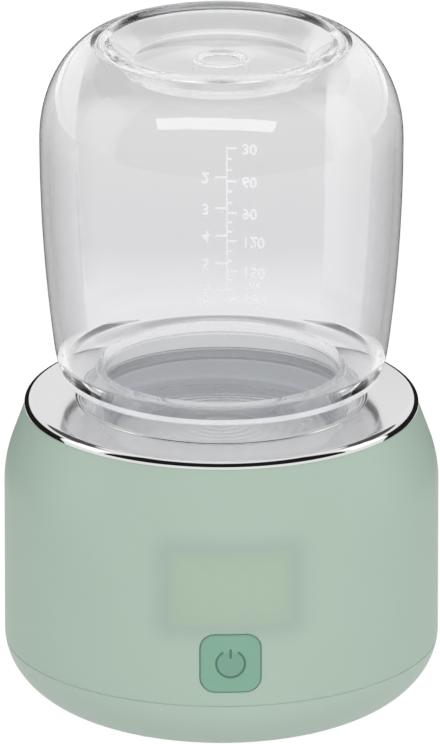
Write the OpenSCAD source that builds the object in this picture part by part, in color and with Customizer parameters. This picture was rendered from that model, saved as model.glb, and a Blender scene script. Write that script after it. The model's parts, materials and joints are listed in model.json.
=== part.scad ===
// Portable bottle warmer with its feeding bottle upside down in the well.
// Z is up, the feet stand on z = 0, the axis is x = y = 0 and the front faces -Y.

/* [Body] */
// Outer radius of the body
shell_r = 45.2; // [44:0.1:52]
// Height from the underside of the base to the top plate
body_h = 65.8; // [65:0.1:78]
// Wall of the outer shell
shell_wall = 2.4; // [1.8:0.1:2.8]
// Floor and wall of the base cap
base_t = 2.4; // [1.8:0.1:3]
// Radial width of the rounded edge of the base
base_corner_w = 19; // [16:0.1:20]
// Height of that rounding
base_corner_h = 15; // [14:0.5:18]
// Drop of the seam below the upper end of that rounding
seam_drop = 1.5; // [1:0.1:5]
// Chamfer on both edges of the seam
seam_cut = 0.35; // [0.2:0.05:0.6]
// Height of the base cap's spigot inside the shell
spigot_h = 3.5; // [3:0.1:6]
// Wall of that spigot
spigot_wall = 2; // [1.6:0.1:2.4]
// Gap between spigot and shell
spigot_gap = 0.3; // [0.2:0.05:0.5]
// Inset of the shell's top edge from that radius
top_inset = 4.4; // [3:0.1:6]
// Bend radius of the shoulder
shoulder_bend_r = 26; // [15:1:30]
// Slope of the shoulder, from the vertical
shoulder_angle = 20; // [15:1:26]

/* [Feet] */
// Height of the feet below the base
foot_proud = 1; // [0.5:0.1:3]
// Radius of a foot
foot_r = 4; // [3:0.1:5]
// Depth of a foot's recess
foot_recess = 0.8; // [0.4:0.1:1.2]
// Distance of a foot from the edge of the base's flat
foot_inset = 2.4; // [2:0.1:6]

/* [Top plate] */
// Height of the plate's rim
rim_h = 1.7; // [1.4:0.1:3]
// Overhang of the rim over the shell
rim_over = 0.2; // [0:0.05:0.5]
// Thickness of the plate
plate_t = 1.2; // [0.8:0.1:1.3]
// Rounding of the rim
rim_round = 0.7; // [0.3:0.1:1]
// Half the width of the raised bead round the well
bead_w = 0.6; // [0.5:0.1:1]
// Height of that bead
bead_h = 0.4; // [0.3:0.1:0.8]
// Width of the gasket under the plate
plate_gasket_w = 2.5; // [1.5:0.1:4]
// Wall of the sleeve that lines the well
sleeve_t = 0.9; // [0.6:0.1:1.2]

/* [Well] */
// Depth from the plate to the seat of the well
well_depth = 11.5; // [10:0.1:13]
// Wall round the well
well_wall = 2.4; // [1.8:0.1:2.8]
// Gap between sleeve and well wall
sleeve_gap = 0.2; // [0.1:0.05:0.4]
// Gap between sleeve and heater plate
sleeve_lift = 0.3; // [0.2:0.05:0.6]
// Thickness of the seal between well wall and heater plate
plate_seal_t = 1; // [0.6:0.1:1.5]

/* [Heater] */
// Height of the heater plate's crown above its flange
crown_h = 5.2; // [4:0.1:6]
// Sheet thickness of the heater plate
steel_t = 0.8; // [0.5:0.1:1]
// Rounding of the crown's edge
crown_round = 1.4; // [1.1:0.1:2]
// Gap between the crown and the bottle's neck
crown_gap = 1.2; // [0.8:0.1:2]
// Thickness of the heater disc
heater_t = 1.5; // [1:0.1:2]
// Gap round the heater disc and the pad
heater_gap = 0.4; // [0.2:0.1:0.8]
// Radius of the temperature sensor
sensor_r = 2; // [1.5:0.1:2.5]
// Length of the temperature sensor
sensor_h = 3; // [2:0.1:4]
// Radius of an insulated lead
lead_r = 0.8; // [0.5:0.1:1]
// Gap round a lead or a sensor
lead_gap = 0.3; // [0.2:0.05:0.6]
// Sideways place of the heater leads
heater_lead_x = 6; // [5:0.5:8]
// Front to back place of the heater leads
heater_lead_y = 10; // [8:0.5:12]

/* [Bottle] */
// Widest radius of the bottle
bottle_r = 37.7; // [35:0.1:40]
// Height of the bottle from the underside of its shoulder to its standing ring
bottle_h = 73.2; // [70:0.1:90]
// Height of the widest place above the underside of the shoulder
bottle_mid_h = 51.7; // [50:0.1:53]
// Wall of the bottle
bottle_wall = 2; // [1.5:0.1:2.4]
// Bend radius of the bottle's side
side_bend_r = 340; // [250:10:500]
// Bend radius of the bottle's lower shoulder
lower_bend_r = 26; // [22:1:30]
// Height of the lower shoulder
lower_bend_h = 6.6; // [5.6:0.1:8]
// Radial width of the dome at the bottle's closed end
dome_w = 15.5; // [14:0.1:17]
// Height of that dome
dome_h = 21.8; // [20.5:0.1:23]
// Radius of the standing ring's crest
ring_r = 24; // [22.5:0.1:25]
// Radius of the standing ring's section
ring_section_r = 1.9; // [1.5:0.1:2.2]
// Width from the ring's crest to the end of the dome
ring_land = 2.85; // [2.2:0.05:3.3]
// Radius of the recess in the closed end
recess_r = 18.3; // [16:0.1:20]
// Depth of that recess below the ring's crest
recess_depth = 4.4; // [3:0.1:6]
// Thickness of the recess's floor
recess_t = 2.4; // [1.8:0.1:3]
// Radius of the raised centre of the recess
gate_r = 5.6; // [3:0.1:8]
// Height of that raised centre
gate_h = 0.4; // [0.2:0.1:0.8]

/* [Neck and thread] */
// Bore of the bottle's neck, as a radius
neck_bore_r = 24.4; // [22:0.1:25]
// Wall of the neck
neck_wall = 1.7; // [1.6:0.1:2.2]
// Length of the neck
neck_h = 15; // [13:0.1:17]
// Thickness of the bottle's shoulder where it meets the neck
shelf_t = 2.4; // [1.8:0.1:3]
// Slope of the inner shoulder, as a rise
shelf_rise = 1.4; // [0.6:0.1:2]
// Height of a thread ridge
thread_h = 1; // [0.7:0.1:1.2]
// Rise of the thread in one turn
thread_lead = 4; // [3.6:0.1:4.4]
// Turns of each thread ridge
thread_turns = 1.05; // [0.9:0.05:1.1]
// Width of a ridge at its root
thread_root_w = 1.8; // [1.4:0.1:2]
// Width of a ridge at its crest
thread_crest_w = 1; // [0.7:0.1:1.2]
// Gap between a ridge's crest and the other piece
thread_gap = 0.3; // [0.25:0.05:0.4]
// Axial gap between the two ridges
thread_play = 0.4; // [0.3:0.05:0.6]
// Height of the bottle's ridge above its rim, at its lower end
thread_start = 1.4; // [1.2:0.1:2]

/* [Adapter and gasket] */
// Wall of the adapter ring
adapter_wall = 1.4; // [1.3:0.1:2]
// Gap between adapter and sleeve
adapter_gap = 0.25; // [0.2:0.05:0.5]
// Height of the adapter
adapter_h = 9.7; // [9.4:0.1:10.5]
// Depth of the adapter's seal groove
seal_groove = 0.6; // [0.5:0.1:0.8]
// Height of that groove
seal_h = 1.6; // [1.2:0.1:2]
// Height of the groove above the adapter's foot
seal_lift = 3; // [2:0.1:5]
// Gap between a seal and what it slides on
seal_fit = 0.1; // [0.05:0.01:0.15]
// Thickness of the gasket under the bottle's rim
gasket_t = 1.5; // [1:0.1:2]
// Gap between the gasket and the crown
gasket_gap = 0.4; // [0.3:0.05:0.6]

/* [Frame and boards] */
// Thickness of the inner frame
frame_t = 2.5; // [2:0.1:3]
// Gap between the frame and the shell
frame_gap = 0.3; // [0.2:0.05:0.6]
// Radius of a screw boss
boss_r = 2.3; // [2:0.1:3]
// Gap between a boss and the heater plate
boss_gap = 0.2; // [0.15:0.05:0.6]
// Gap between the frame and the control board
board_drop = 3; // [2.8:0.1:3.2]
// Thickness of a circuit board
board_t = 1.6; // [1:0.1:1.8]
// Distance of the control board's edge from the shell
board_inset = 4.6; // [3.4:0.1:5.1]
// Gap between the two boards
board_gap = 0.3; // [0.2:0.05:0.6]
// Sideways place of the board's standoffs
standoff_x = 22; // [20:0.5:24]
// Front to back place of the board's standoffs
standoff_y = 17; // [15:0.5:19]
// Radius of the board's standoffs
standoff_r = 2.5; // [2.2:0.1:3]
// Distance of the posts that hold the base from the outer radius
post_inset = 12.2; // [11:0.1:13]
// Angle of those posts from the sides
post_angle = 60; // [57:1:62]
// Radius of such a post
post_r = 3.2; // [2.8:0.1:3.5]
// Gap between a post and the control board
post_gap = 0.3; // [0.2:0.05:0.6]
// Height of the base's screw pillars above its floor
pillar_h = 3; // [2:0.1:4]
// Height of a chip on the control board
chip_h = 1.6; // [1:0.1:2]
// Size of the plug between the boards
plug_size = 2.5; // [2:0.1:3]
// Width of that plug
plug_w = 16; // [10:0.5:20]

/* [Screws] */
// Radius of a screw's shank
shank_r = 1; // [0.8:0.05:1.2]
// Length of a shank
shank_l = 8; // [7:0.1:9]
// Radius of a screw's head
head_r = 1.9; // [1.6:0.05:2.1]
// Height of a screw's head
head_h = 1.4; // [1:0.1:1.6]
// Radius of the hexagon in a screw's head
drive_r = 0.6; // [0.4:0.05:0.9]
// Depth of that hexagon
drive_d = 0.7; // [0.4:0.1:0.9]
// Gap between a shank and its hole
shank_fit = 0.05; // [0.02:0.01:0.1]
// Gap round a sunk head
head_gap = 0.3; // [0.2:0.05:0.5]
// Length of a board screw's shank
short_shank_l = 4; // [3.5:0.1:4.2]

/* [Display and button] */
// Width of the display
display_w = 25.4; // [22:0.1:26]
// Height of the display
display_h = 15.9; // [14:0.1:16.5]
// Depth of the display
display_d = 4.9; // [4.6:0.1:5.4]
// Height of the display's centre above the button's
display_rise = 16.2; // [15.5:0.1:17]
// Wall left in front of the display
window_wall = 1.4; // [1:0.1:1.8]
// Border of the window pocket round the display
window_border = 0.9; // [0.6:0.1:1.2]
// Gap round the diffuser
diffuser_gap = 0.1; // [0.05:0.01:0.2]
// Reach of the display board below the button's centre
display_board_drop = 6.3; // [5.5:0.1:6.5]
// Width of the display board
display_board_w = 29; // [28:0.1:30]
// Width and height of the button
button_w = 12.6; // [11:0.1:13.4]
// Rounding of the button's corners
button_round = 3.1; // [2:0.1:4]
// Height of the button's centre above the seam
button_lift = 9.5; // [9:0.1:11]
// How far the button stands proud of the shell
button_proud = 0.4; // [0:0.05:0.8]
// Travel of the button
button_travel = 0.5; // [0.3:0.05:0.6]
// Gap round the button
button_gap = 0.25; // [0.15:0.05:0.4]
// Width of the button's retaining edge
button_edge = 1; // [0.8:0.1:1.2]
// Thickness of that edge
button_edge_t = 1; // [0.8:0.1:1.2]
// Radius of the power symbol's ring
symbol_r = 3.1; // [2:0.1:4]
// Width of the symbol's line
symbol_w = 0.5; // [0.3:0.05:0.8]
// Width of the gap at the top of the symbol's ring
symbol_gap = 3.1; // [2:0.1:4]
// Length of the symbol's bar
symbol_bar_l = 3.25; // [2:0.05:4]
// Height of the bar's lower end above the ring's centre
symbol_bar_z = 0.45; // [0:0.05:1]
// Depth of the symbol
symbol_depth = 0.25; // [0.1:0.05:0.4]
// Width of the switch
switch_w = 6.2; // [5:0.1:7]
// Radius of the switch's plunger
plunger_r = 1.7; // [1.2:0.1:2]
// Length of the plunger in front of the switch
plunger_l = 0.8; // [0.75:0.05:1]
// Length of the plunger inside the switch
plunger_in = 1.2; // [0.8:0.1:1.5]
// Gap round the plunger
plunger_gap = 0.08; // [0.05:0.01:0.1]
// Sideways place of the display board's bosses
display_boss_x = 11.3; // [11:0.1:11.6]
// Radius of those bosses
display_boss_r = 2.5; // [2.2:0.1:2.6]

/* [Charging socket] */
// Width of the socket's shell
socket_w = 8.9; // [8:0.1:9.5]
// Height of the socket's shell
socket_h = 3.2; // [2.8:0.1:3.4]
// Sheet thickness of the socket
socket_t = 0.3; // [0.2:0.05:0.4]
// Length of the socket on the board
socket_seat = 3; // [2:0.1:4]
// Recess of the socket's mouth in the wall
socket_recess = 0.6; // [0.4:0.1:1]
// Gap round the socket in the wall
socket_gap = 0.3; // [0.2:0.05:0.5]
// Width of the socket's tongue
tongue_w = 6.6; // [5:0.1:7]
// Thickness of the tongue
tongue_t = 0.7; // [0.5:0.05:0.9]

/* [Battery] */
// Radius of a cell
cell_r = 9.2; // [8.8:0.05:9.3]
// Gap between the corners of the cell pack and the shell
pack_gap = 3.8; // [3:0.1:5]
// Gap between neighbouring cells
cell_gap = 0.4; // [0.2:0.05:0.5]
// Gap between a cell and its socket
cell_fit = 0.1; // [0.05:0.01:0.12]
// Wall of a cell holder
holder_wall = 1.1; // [0.8:0.1:1.2]
// Depth of a holder's sockets
holder_depth = 5; // [3:0.1:7]
// Height of the lower holders above the floor
holder_lift = 3; // [2.4:0.1:3.4]
// Thickness of a cell tab
tab_t = 0.3; // [0.2:0.05:0.5]
// Width of a cell tab
tab_w = 8; // [6:0.1:9]
// Radius of a tab's welded pad
pad_r = 3.5; // [2:0.1:4]
// Gap round a tab's pad
pad_gap = 0.3; // [0.2:0.05:0.6]
// Width of a foam pad
foam_w = 5; // [3:0.1:6]
// Length of a foam pad
foam_l = 26; // [22:0.5:27]
// Least thickness of a foam pad
foam_t = 1; // [0.5:0.1:1.4]
// Height of the cradles under the cell pack, above the floor
cradle_h = 7.8; // [5:0.1:9]
// Width of those cradles
cradle_w = 26.3; // [20:0.1:30]

/* [Hidden] */
$fn = 200;

// Room that a cut takes past the face it opens
over = 1;
// Points on a round stretch of a turned outline
arc_steps = 10;

// Heights of the body
z_plate = foot_proud + body_h;
z_deck = z_plate - rim_h;
z_floor = foot_proud + base_t;
corner_z = foot_proud + base_corner_h;
corner_x = shell_r - base_corner_w;
foot_circle_r = corner_x - foot_inset - foot_r;
part_z = corner_z - seam_drop;
part_a = -asin(seam_drop / base_corner_h);
shell_in_r = shell_r - shell_wall;
board_r = shell_in_r - board_inset;
post_circle_r = shell_r - post_inset;
spigot_r = shell_in_r - spigot_gap;
spigot_in_r = spigot_r - spigot_wall;
base_inner_w = base_corner_w - base_t;
base_inner_h = base_corner_h - base_t;
top_r = shell_r - top_inset;
plate_r = top_r + rim_over;

// Shoulder of the shell
shoulder_end_r = shell_r - shoulder_bend_r * (1 - cos(shoulder_angle));
shoulder_z = z_deck - (shoulder_end_r - top_r) / tan(shoulder_angle) - shoulder_bend_r * sin(shoulder_angle);
shoulder_x = shell_r - shoulder_bend_r;
deck_z = z_deck - shell_wall;
deck_in_r = top_r + shell_wall * tan(shoulder_angle) - shell_wall / cos(shoulder_angle);

// Neck, adapter and well, from the bottle outwards
neck_r = neck_bore_r + neck_wall;
ridge_r = neck_r + thread_h;
adapter_bore_r = ridge_r + thread_gap;
adapter_ridge_r = neck_r + thread_gap;
adapter_r = adapter_bore_r + adapter_wall;
well_r = adapter_r + adapter_gap;
sleeve_r = well_r + sleeve_t;
well_wall_in = sleeve_r + sleeve_gap;
flange_r = well_wall_in + well_wall;
crown_r = neck_bore_r - crown_gap;

// Heights of the well
z_flange = z_plate - well_depth;
z_crown = z_flange + crown_h;
z_rim = z_flange + gasket_t;
z_shelf = z_rim + neck_h;
z_frame = z_flange - steel_t;
z_frame_low = z_frame - frame_t;
z_board = z_frame_low - board_drop;
z_board_low = z_board - board_t;
z_heater = z_crown - steel_t - heater_t;
heater_r = crown_r - crown_round - heater_gap;
boss_circle_r = flange_r + boss_gap + boss_r;
frame_r = boss_circle_r + boss_r;
z_adapter_top = z_flange + adapter_h;

// Bottle
z_mid = z_shelf + bottle_mid_h;
z_crest = z_shelf + bottle_h;
z_low = z_shelf + lower_bend_h;
side_x = bottle_r - side_bend_r;
side_a = asin((z_mid - z_low) / side_bend_r);
low_x = side_x + (side_bend_r - lower_bend_r) * cos(side_a);
low_z = z_mid - (side_bend_r - lower_bend_r) * sin(side_a);
low_a = asin((low_z - z_shelf) / lower_bend_r);
z_inner_shoulder = z_shelf + shelf_t + shelf_rise;
low_in_a = asin((low_z - z_inner_shoulder) / (lower_bend_r - bottle_wall));
dome_x = bottle_r - dome_w;
ring_z = z_crest - ring_section_r;
recess_z = z_crest - recess_depth;
dome_end_a = acos((ring_r + ring_land - dome_x) / dome_w);
dome_in_a = acos((ring_r - dome_x) / (dome_w - bottle_wall));

// Display and button
y_face = -(sqrt(pow(shell_r - window_wall - diffuser_gap, 2) - pow(display_w / 2 + diffuser_gap, 2)) - diffuser_gap);
y_board = y_face + display_d;
z_button = part_z + button_lift;
z_display = z_button + display_rise;
y_front = y_board + board_t + board_gap;
edge_half = button_w / 2 + button_edge;
y_edge = -(sqrt(pow(shell_in_r, 2) - pow(edge_half, 2)) - button_gap);
y_edge_back = y_edge + button_edge_t;
y_switch = y_edge_back + plunger_l;
display_boss_l = sqrt(pow(shell_in_r, 2) - pow(display_boss_x, 2)) + y_board + shell_wall / 2;
z_display_board = z_button - display_board_drop;
display_board_h = max(z_board, z_display + display_h / 2) - z_display_board;

// Battery
cell_pitch = 2 * cell_r + cell_gap;
holder_r = cell_r + cell_fit + holder_wall;
z_cell = z_floor + holder_lift + holder_r;
pack_y = cell_pitch / 2 + holder_r;
holder_end_x = sqrt(pow(shell_in_r - pack_gap, 2) - pow(pack_y, 2));
cell_l = 2 * (holder_end_x - holder_wall);
holder_x = cell_l / 2 - holder_depth;
cell_layers = max(1, 1 + floor((z_board_low - foam_t - z_cell - holder_r) / cell_pitch));
pack_h = (cell_layers - 1) * cell_pitch;
z_holder_top = z_cell + pack_h + holder_r;

// Chips as place and size on the control board
chips = [[-12, -12, 9, 9], [11, -14, 8, 6], [0, 22, 10, 7], [-14, 4, 5, 6], [15, 2, 5, 5]];

// Height of the middle of the bottle's ridge where it starts
z_bottle_ridge = z_rim + thread_start;
// The adapter's ridge lies above it by half of both widths and the play
z_adapter_ridge = z_bottle_ridge + (thread_root_w + thread_crest_w) / 2 + thread_play;

// Sunk base screws
post_x = post_circle_r * cos(post_angle);
post_y = post_circle_r * sin(post_angle);
z_pillar = z_floor + pillar_h;
z_base_head = z_pillar - base_t;
lead_x = holder_end_x + tab_t + lead_r;

// Points on an arc, with the centre, the radii and the angles at both ends
function arc(x, z, r, a0, a1, rz = undef) = [
    for (i = [0:arc_steps])
        let (a = a0 + (a1 - a0) * i / arc_steps)
        [x + r * cos(a), z + (is_undef(rz) ? r : rz) * sin(a)]
];

// Flat ring between two radii and two heights
module flat_ring(r_in, r_out, z0, z1) {
    rotate_extrude()
        translate([r_in, z0])
            square([r_out - r_in, z1 - z0]);
}

// Outline with rounded corners, centred
module rounded_outline(w, h, r) {
    square([w - 2 * r, h], center = true);
    square([w, h - 2 * r], center = true);
    for (x = [-1, 1], y = [-1, 1])
        translate([x * (w / 2 - r), y * (h / 2 - r)])
            circle(r);
}

// Outline with two round ends, centred
module slot_outline(w, h) {
    square([w - h, h], center = true);
    for (x = [-1, 1])
        translate([x * (w - h) / 2, 0])
            circle(h / 2);
}

// Turns a flat outline to face the front, with its near face at y
module facing_front(y, depth) {
    translate([0, y + depth, 0])
        rotate([90, 0, 0])
            linear_extrude(depth)
                children();
}

// Four copies at the corners of a rectangle
module at_corners(x, y) {
    for (i = [-1, 1], j = [-1, 1])
        translate([i * x, j * y, 0])
            children();
}

// Four copies on a circle, between the axes
module on_circle(r) {
    at_corners(r * cos(45), r * sin(45)) children();
}

// Screw with its head below and its shank pointing up, from the head's seat at z = 0
module screw_up(l) {
    translate([0, 0, -head_h])
        difference() {
            cylinder(r = head_r, h = head_h);
            translate([0, 0, -over])
                cylinder(r = drive_r, h = over + drive_d, $fn = 6);
        }
    cylinder(r = shank_r, h = l);
}

// Hole for such a shank, from z = 0 up
module shank_hole(l) {
    translate([0, 0, -over])
        cylinder(r = shank_r + shank_fit, h = l + over);
}

// Thread ridge as a ring of sections along a helix, from radius r0 at its root to r1 at its crest
module thread_ridge(r0, r1, z0) {
    steps = ceil(thread_turns * 36);
    low_r = min(r0, r1);
    high_r = max(r0, r1);
    low_w = r0 < r1 ? thread_root_w : thread_crest_w;
    high_w = r0 < r1 ? thread_crest_w : thread_root_w;
    section = [[low_r, -low_w / 2], [high_r, -high_w / 2], [high_r, high_w / 2], [low_r, low_w / 2]];
    points = [
        for (k = [0:steps], p = section)
            let (a = 360 * thread_turns * k / steps)
            [p.x * cos(a), p.x * sin(a), z0 + p.y + thread_lead * a / 360]
    ];
    sides = [
        for (k = [0:steps - 1], j = [0:3])
            let (a = 4 * k + j, b = 4 * k + (j + 1) % 4)
            each [[a, b, b + 4], [a, b + 4, a + 4]]
    ];
    ends = [[0, 3, 2], [0, 2, 1], [4 * steps, 4 * steps + 1, 4 * steps + 2],
        [4 * steps, 4 * steps + 2, 4 * steps + 3]];
    polyhedron(points, concat(sides, ends));
}

// Ends of the four cells, seen along X
module cell_ends(r) {
    for (y = [-1, 1], k = [0:cell_layers - 1])
        translate([y * cell_pitch / 2, z_cell + k * cell_pitch])
            circle(r);
}

// Lays a flat outline of Y and Z across X, from x0 to x1
module across(x0, x1) {
    translate([x0, 0, 0])
        rotate([90, 0, 90])
            linear_extrude(x1 - x0)
                children();
}

// Standard power symbol
module power_symbol() {
    difference() {
        circle(symbol_r + symbol_w / 2);
        circle(symbol_r - symbol_w / 2);
        translate([-symbol_gap / 2, 0])
            square([symbol_gap, 2 * symbol_r]);
    }
    translate([-symbol_w / 2, symbol_bar_z])
        square([symbol_w, symbol_bar_l]);
}

// Outer outline of the shell, from the seam up to the top edge
shell_outline = concat(
    [[corner_x + base_corner_w * cos(part_a) - seam_cut, part_z]],
    [[corner_x + base_corner_w * cos(part_a), part_z + seam_cut], [shell_r, corner_z]],
    arc(shoulder_x, shoulder_z, shoulder_bend_r, 0, shoulder_angle),
    [[top_r, z_deck]]
);

// Outer form of the shell as one filled solid
module shell_form() {
    rotate_extrude()
        polygon(concat([[0, part_z]], shell_outline, [[0, z_deck]]));
}

// Room inside the shell, less a gap
module shell_room(gap) {
    rotate_extrude()
        polygon(concat(
            [[0, part_z], [shell_in_r - gap, part_z]],
            arc(shoulder_x, shoulder_z, shoulder_bend_r - shell_wall - gap, 0, shoulder_angle),
            [[deck_in_r - gap, deck_z], [0, deck_z]]
        ));
}

module outer_shell() {
    outline = concat(
        [[shell_in_r, part_z]],
        shell_outline,
        [[well_wall_in, z_deck], [well_wall_in, z_flange + plate_seal_t]],
        [[flange_r, z_flange + plate_seal_t], [flange_r, deck_z], [deck_in_r, deck_z]],
        arc(shoulder_x, shoulder_z, shoulder_bend_r - shell_wall, shoulder_angle, 0)
    );
    color("#a8bdae")
        difference() {
            union() {
                rotate_extrude()
                    polygon(outline);
                intersection() {
                    shell_form();
                    on_circle(boss_circle_r)
                        translate([0, 0, z_frame])
                            cylinder(r = boss_r, h = deck_z - z_frame + shell_wall / 2);
                }
                for (i = [-1, 1])
                    translate([i * display_boss_x, y_board, z_button])
                        rotate([90, 0, 0])
                            cylinder(r = display_boss_r, h = display_boss_l);
            }
            on_circle(boss_circle_r) {
                translate([0, 0, z_frame])
                    shank_hole(shank_l - frame_t + head_gap);
                translate([0, 0, z_frame_low - 2 * head_h])
                    cylinder(r = head_r + head_gap, h = 2 * head_h);
            }
            for (i = [-1, 1])
                translate([i * display_boss_x, y_board, z_button])
                    rotate([90, 0, 0])
                        shank_hole(short_shank_l);
            translate([0, 0, z_button])
                facing_front(-shell_r - over, shell_wall * 3)
                    rounded_outline(button_w + 2 * button_gap, button_w + 2 * button_gap, button_round + button_gap);
            intersection() {
                cylinder(r = shell_r - window_wall, h = z_plate);
                translate([0, 0, z_display])
                    facing_front(-shell_r, shell_wall * 3)
                        square([display_w + 2 * window_border, display_h + 2 * window_border], center = true);
            }
            translate([0, 0, z_board_low - socket_h / 2])
                facing_front(shell_in_r - over, shell_wall + 2 * over)
                    slot_outline(socket_w + 2 * socket_gap, socket_h + 2 * socket_gap);
        }
}

// Outer form of the base as one filled solid, up to the seam
module base_form() {
    rotate_extrude()
        polygon(concat(
            [[0, foot_proud]],
            arc(corner_x, corner_z, base_corner_w, -90, part_a, base_corner_h),
            [[0, part_z]]
        ));
}

module base_cap() {
    inner_end = -acos((spigot_in_r - corner_x) / base_inner_w);
    outline = concat(
        [[0, foot_proud]],
        arc(corner_x, corner_z, base_corner_w, -90, part_a - 1, base_corner_h),
        [[corner_x + base_corner_w * cos(part_a), part_z - seam_cut]],
        [[corner_x + base_corner_w * cos(part_a) - seam_cut, part_z]],
        [[spigot_r, part_z], [spigot_r, part_z + spigot_h], [spigot_in_r, part_z + spigot_h]],
        arc(corner_x, corner_z, base_inner_w, inner_end, -90, base_inner_h),
        [[0, z_floor]]
    );
    color("#aebdb0")
        difference() {
            union() {
                rotate_extrude()
                    polygon(outline);
                intersection() {
                    base_form();
                    union() {
                        at_corners(post_x, post_y)
                            cylinder(r = head_r + head_gap + holder_wall, h = z_pillar);
                        for (i = [-1, 1])
                            translate([i * (holder_x + holder_end_x) / 2, 0, (z_floor + cradle_h) / 2])
                                cube([holder_depth - holder_wall, cradle_w, z_floor + cradle_h], center = true);
                    }
                }
            }
            translate([0, 0, z_button - edge_half - seam_cut])
                facing_front(-shell_r, shell_r)
                    translate([-edge_half - button_gap, 0])
                        square([2 * (edge_half + button_gap), z_plate]);
            at_corners(post_x, post_y) {
                translate([0, 0, -over])
                    cylinder(r = head_r + head_gap, h = z_base_head + over);
                cylinder(r = shank_r + shank_fit, h = z_pillar + over);
            }
            on_circle(foot_circle_r)
                cylinder(r = foot_r, h = foot_proud + foot_recess);
            across(-holder_end_x - over, holder_end_x + over)
                cell_ends(holder_r + cell_fit);
            flat_ring(spigot_r - seal_groove, spigot_r + over, part_z + seam_cut, part_z + seam_cut + plate_seal_t);
        }
}

module base_seal() {
    color("#4a4d4c")
        flat_ring(spigot_r - seal_groove, shell_in_r - seal_fit, part_z + seam_cut,
            part_z + seam_cut + plate_seal_t);
}

module rubber_feet() {
    color("#5b605e")
        on_circle(foot_circle_r)
            cylinder(r = foot_r, h = foot_proud + foot_recess);
}

module base_screws() {
    color("#c0c2c4")
        at_corners(post_x, post_y)
            translate([0, 0, z_base_head])
                screw_up(shank_l);
}

module top_plate() {
    outline = concat(
        [[plate_r, z_deck]],
        arc(plate_r - rim_round, z_plate - rim_round, rim_round, 0, 90),
        arc(well_r + bead_w, z_plate, bead_w, 0, 180, bead_h),
        [[well_r, z_flange + sleeve_lift], [sleeve_r, z_flange + sleeve_lift], [sleeve_r, z_plate - plate_t]],
        [[plate_r - plate_t, z_plate - plate_t], [plate_r - plate_t, z_deck]]
    );
    color("#dcdddd")
        rotate_extrude()
            polygon(outline);
}

module plate_gasket() {
    color("#6d7371")
        flat_ring(plate_r - 2 * plate_t - plate_gasket_w, plate_r - 2 * plate_t, z_deck, z_plate - plate_t);
}

module heater_plate() {
    outline = concat(
        [[0, z_crown]],
        arc(crown_r - crown_round, z_crown - crown_round, crown_round, 90, 0),
        [[crown_r, z_flange], [flange_r, z_flange], [flange_r, z_frame], [crown_r - steel_t, z_frame]],
        arc(crown_r - crown_round, z_crown - crown_round, crown_round - steel_t, 0, 90),
        [[0, z_crown - steel_t]]
    );
    color("#c6c8ca")
        rotate_extrude()
            polygon(outline);
}

module plate_seal() {
    color("#d8d5cd")
        flat_ring(well_wall_in, flange_r, z_flange, z_flange + plate_seal_t);
}

// Holes for the sensor and the heater leads, over the whole height
module lead_holes(sensor_hole_r) {
    cylinder(r = sensor_hole_r + lead_gap, h = z_plate);
    for (i = [-1, 1])
        translate([i * heater_lead_x, heater_lead_y, 0])
            cylinder(r = lead_r + lead_gap, h = z_plate);
}

module heater_disc() {
    color("#b5764c")
        difference() {
            translate([0, 0, z_heater])
                cylinder(r = heater_r, h = heater_t);
            cylinder(r = sensor_r + lead_gap, h = z_plate);
        }
}

module insulation_pad() {
    color("#e4e0d6")
        difference() {
            translate([0, 0, z_frame])
                cylinder(r = heater_r, h = z_heater - z_frame);
            lead_holes(sensor_r);
        }
}

module temp_sensor() {
    color("#2f3133")
        union() {
            translate([0, 0, z_crown - steel_t - sensor_h])
                cylinder(r = sensor_r, h = sensor_h);
            translate([0, 0, z_board])
                cylinder(r = lead_r, h = z_crown - steel_t - sensor_h - z_board);
        }
}

module heater_leads() {
    color("#b33a32")
        for (i = [-1, 1])
            translate([i * heater_lead_x, heater_lead_y, z_board])
                cylinder(r = lead_r, h = z_heater - z_board);
}

// Room of the display board, in front of the frame and the control board
module in_front() {
    translate([-shell_r, y_front - shell_r, 0])
        cube([2 * shell_r, shell_r, z_plate]);
}

module inner_frame() {
    color("#e7e6e1")
        difference() {
            union() {
                intersection() {
                    shell_room(frame_gap);
                    translate([0, 0, z_frame_low])
                        cylinder(r = frame_r, h = frame_t);
                }
                at_corners(post_x, post_y)
                    translate([0, 0, z_pillar])
                        cylinder(r = post_r, h = z_frame - z_pillar);
                at_corners(standoff_x, standoff_y)
                    translate([0, 0, z_board])
                        cylinder(r = standoff_r, h = z_frame - z_board);
            }
            lead_holes(lead_r);
            in_front();
            on_circle(boss_circle_r)
                cylinder(r = shank_r + shank_fit, h = z_plate);
            at_corners(post_x, post_y)
                translate([0, 0, z_pillar])
                    shank_hole(shank_l);
            at_corners(standoff_x, standoff_y)
                translate([0, 0, z_board])
                    shank_hole(short_shank_l);
        }
}

module frame_screws() {
    color("#c0c2c4")
        on_circle(boss_circle_r)
            translate([0, 0, z_frame_low])
                screw_up(shank_l);
}

module control_board() {
    color("#2f6b4a")
        difference() {
            translate([0, 0, z_board_low])
                cylinder(r = board_r, h = board_t);
            in_front();
            at_corners(post_x, post_y)
                cylinder(r = post_r + post_gap, h = z_plate);
            at_corners(standoff_x, standoff_y)
                cylinder(r = shank_r + shank_fit, h = z_plate);
        }
}

module board_screws() {
    color("#c0c2c4")
        at_corners(standoff_x, standoff_y)
            translate([0, 0, z_board_low])
                screw_up(short_shank_l);
}

module board_components() {
    color("#2b2d30")
        for (c = chips)
            translate([c[0] - c[2] / 2, c[1] - c[3] / 2, z_board])
                cube([c[2], c[3], chip_h]);
}

module board_connector() {
    color("#ece7d8")
        translate([-plug_w / 2, y_board + board_t, z_board_low - plug_size])
            cube([plug_w, plug_size + board_gap, plug_size]);
}

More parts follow.
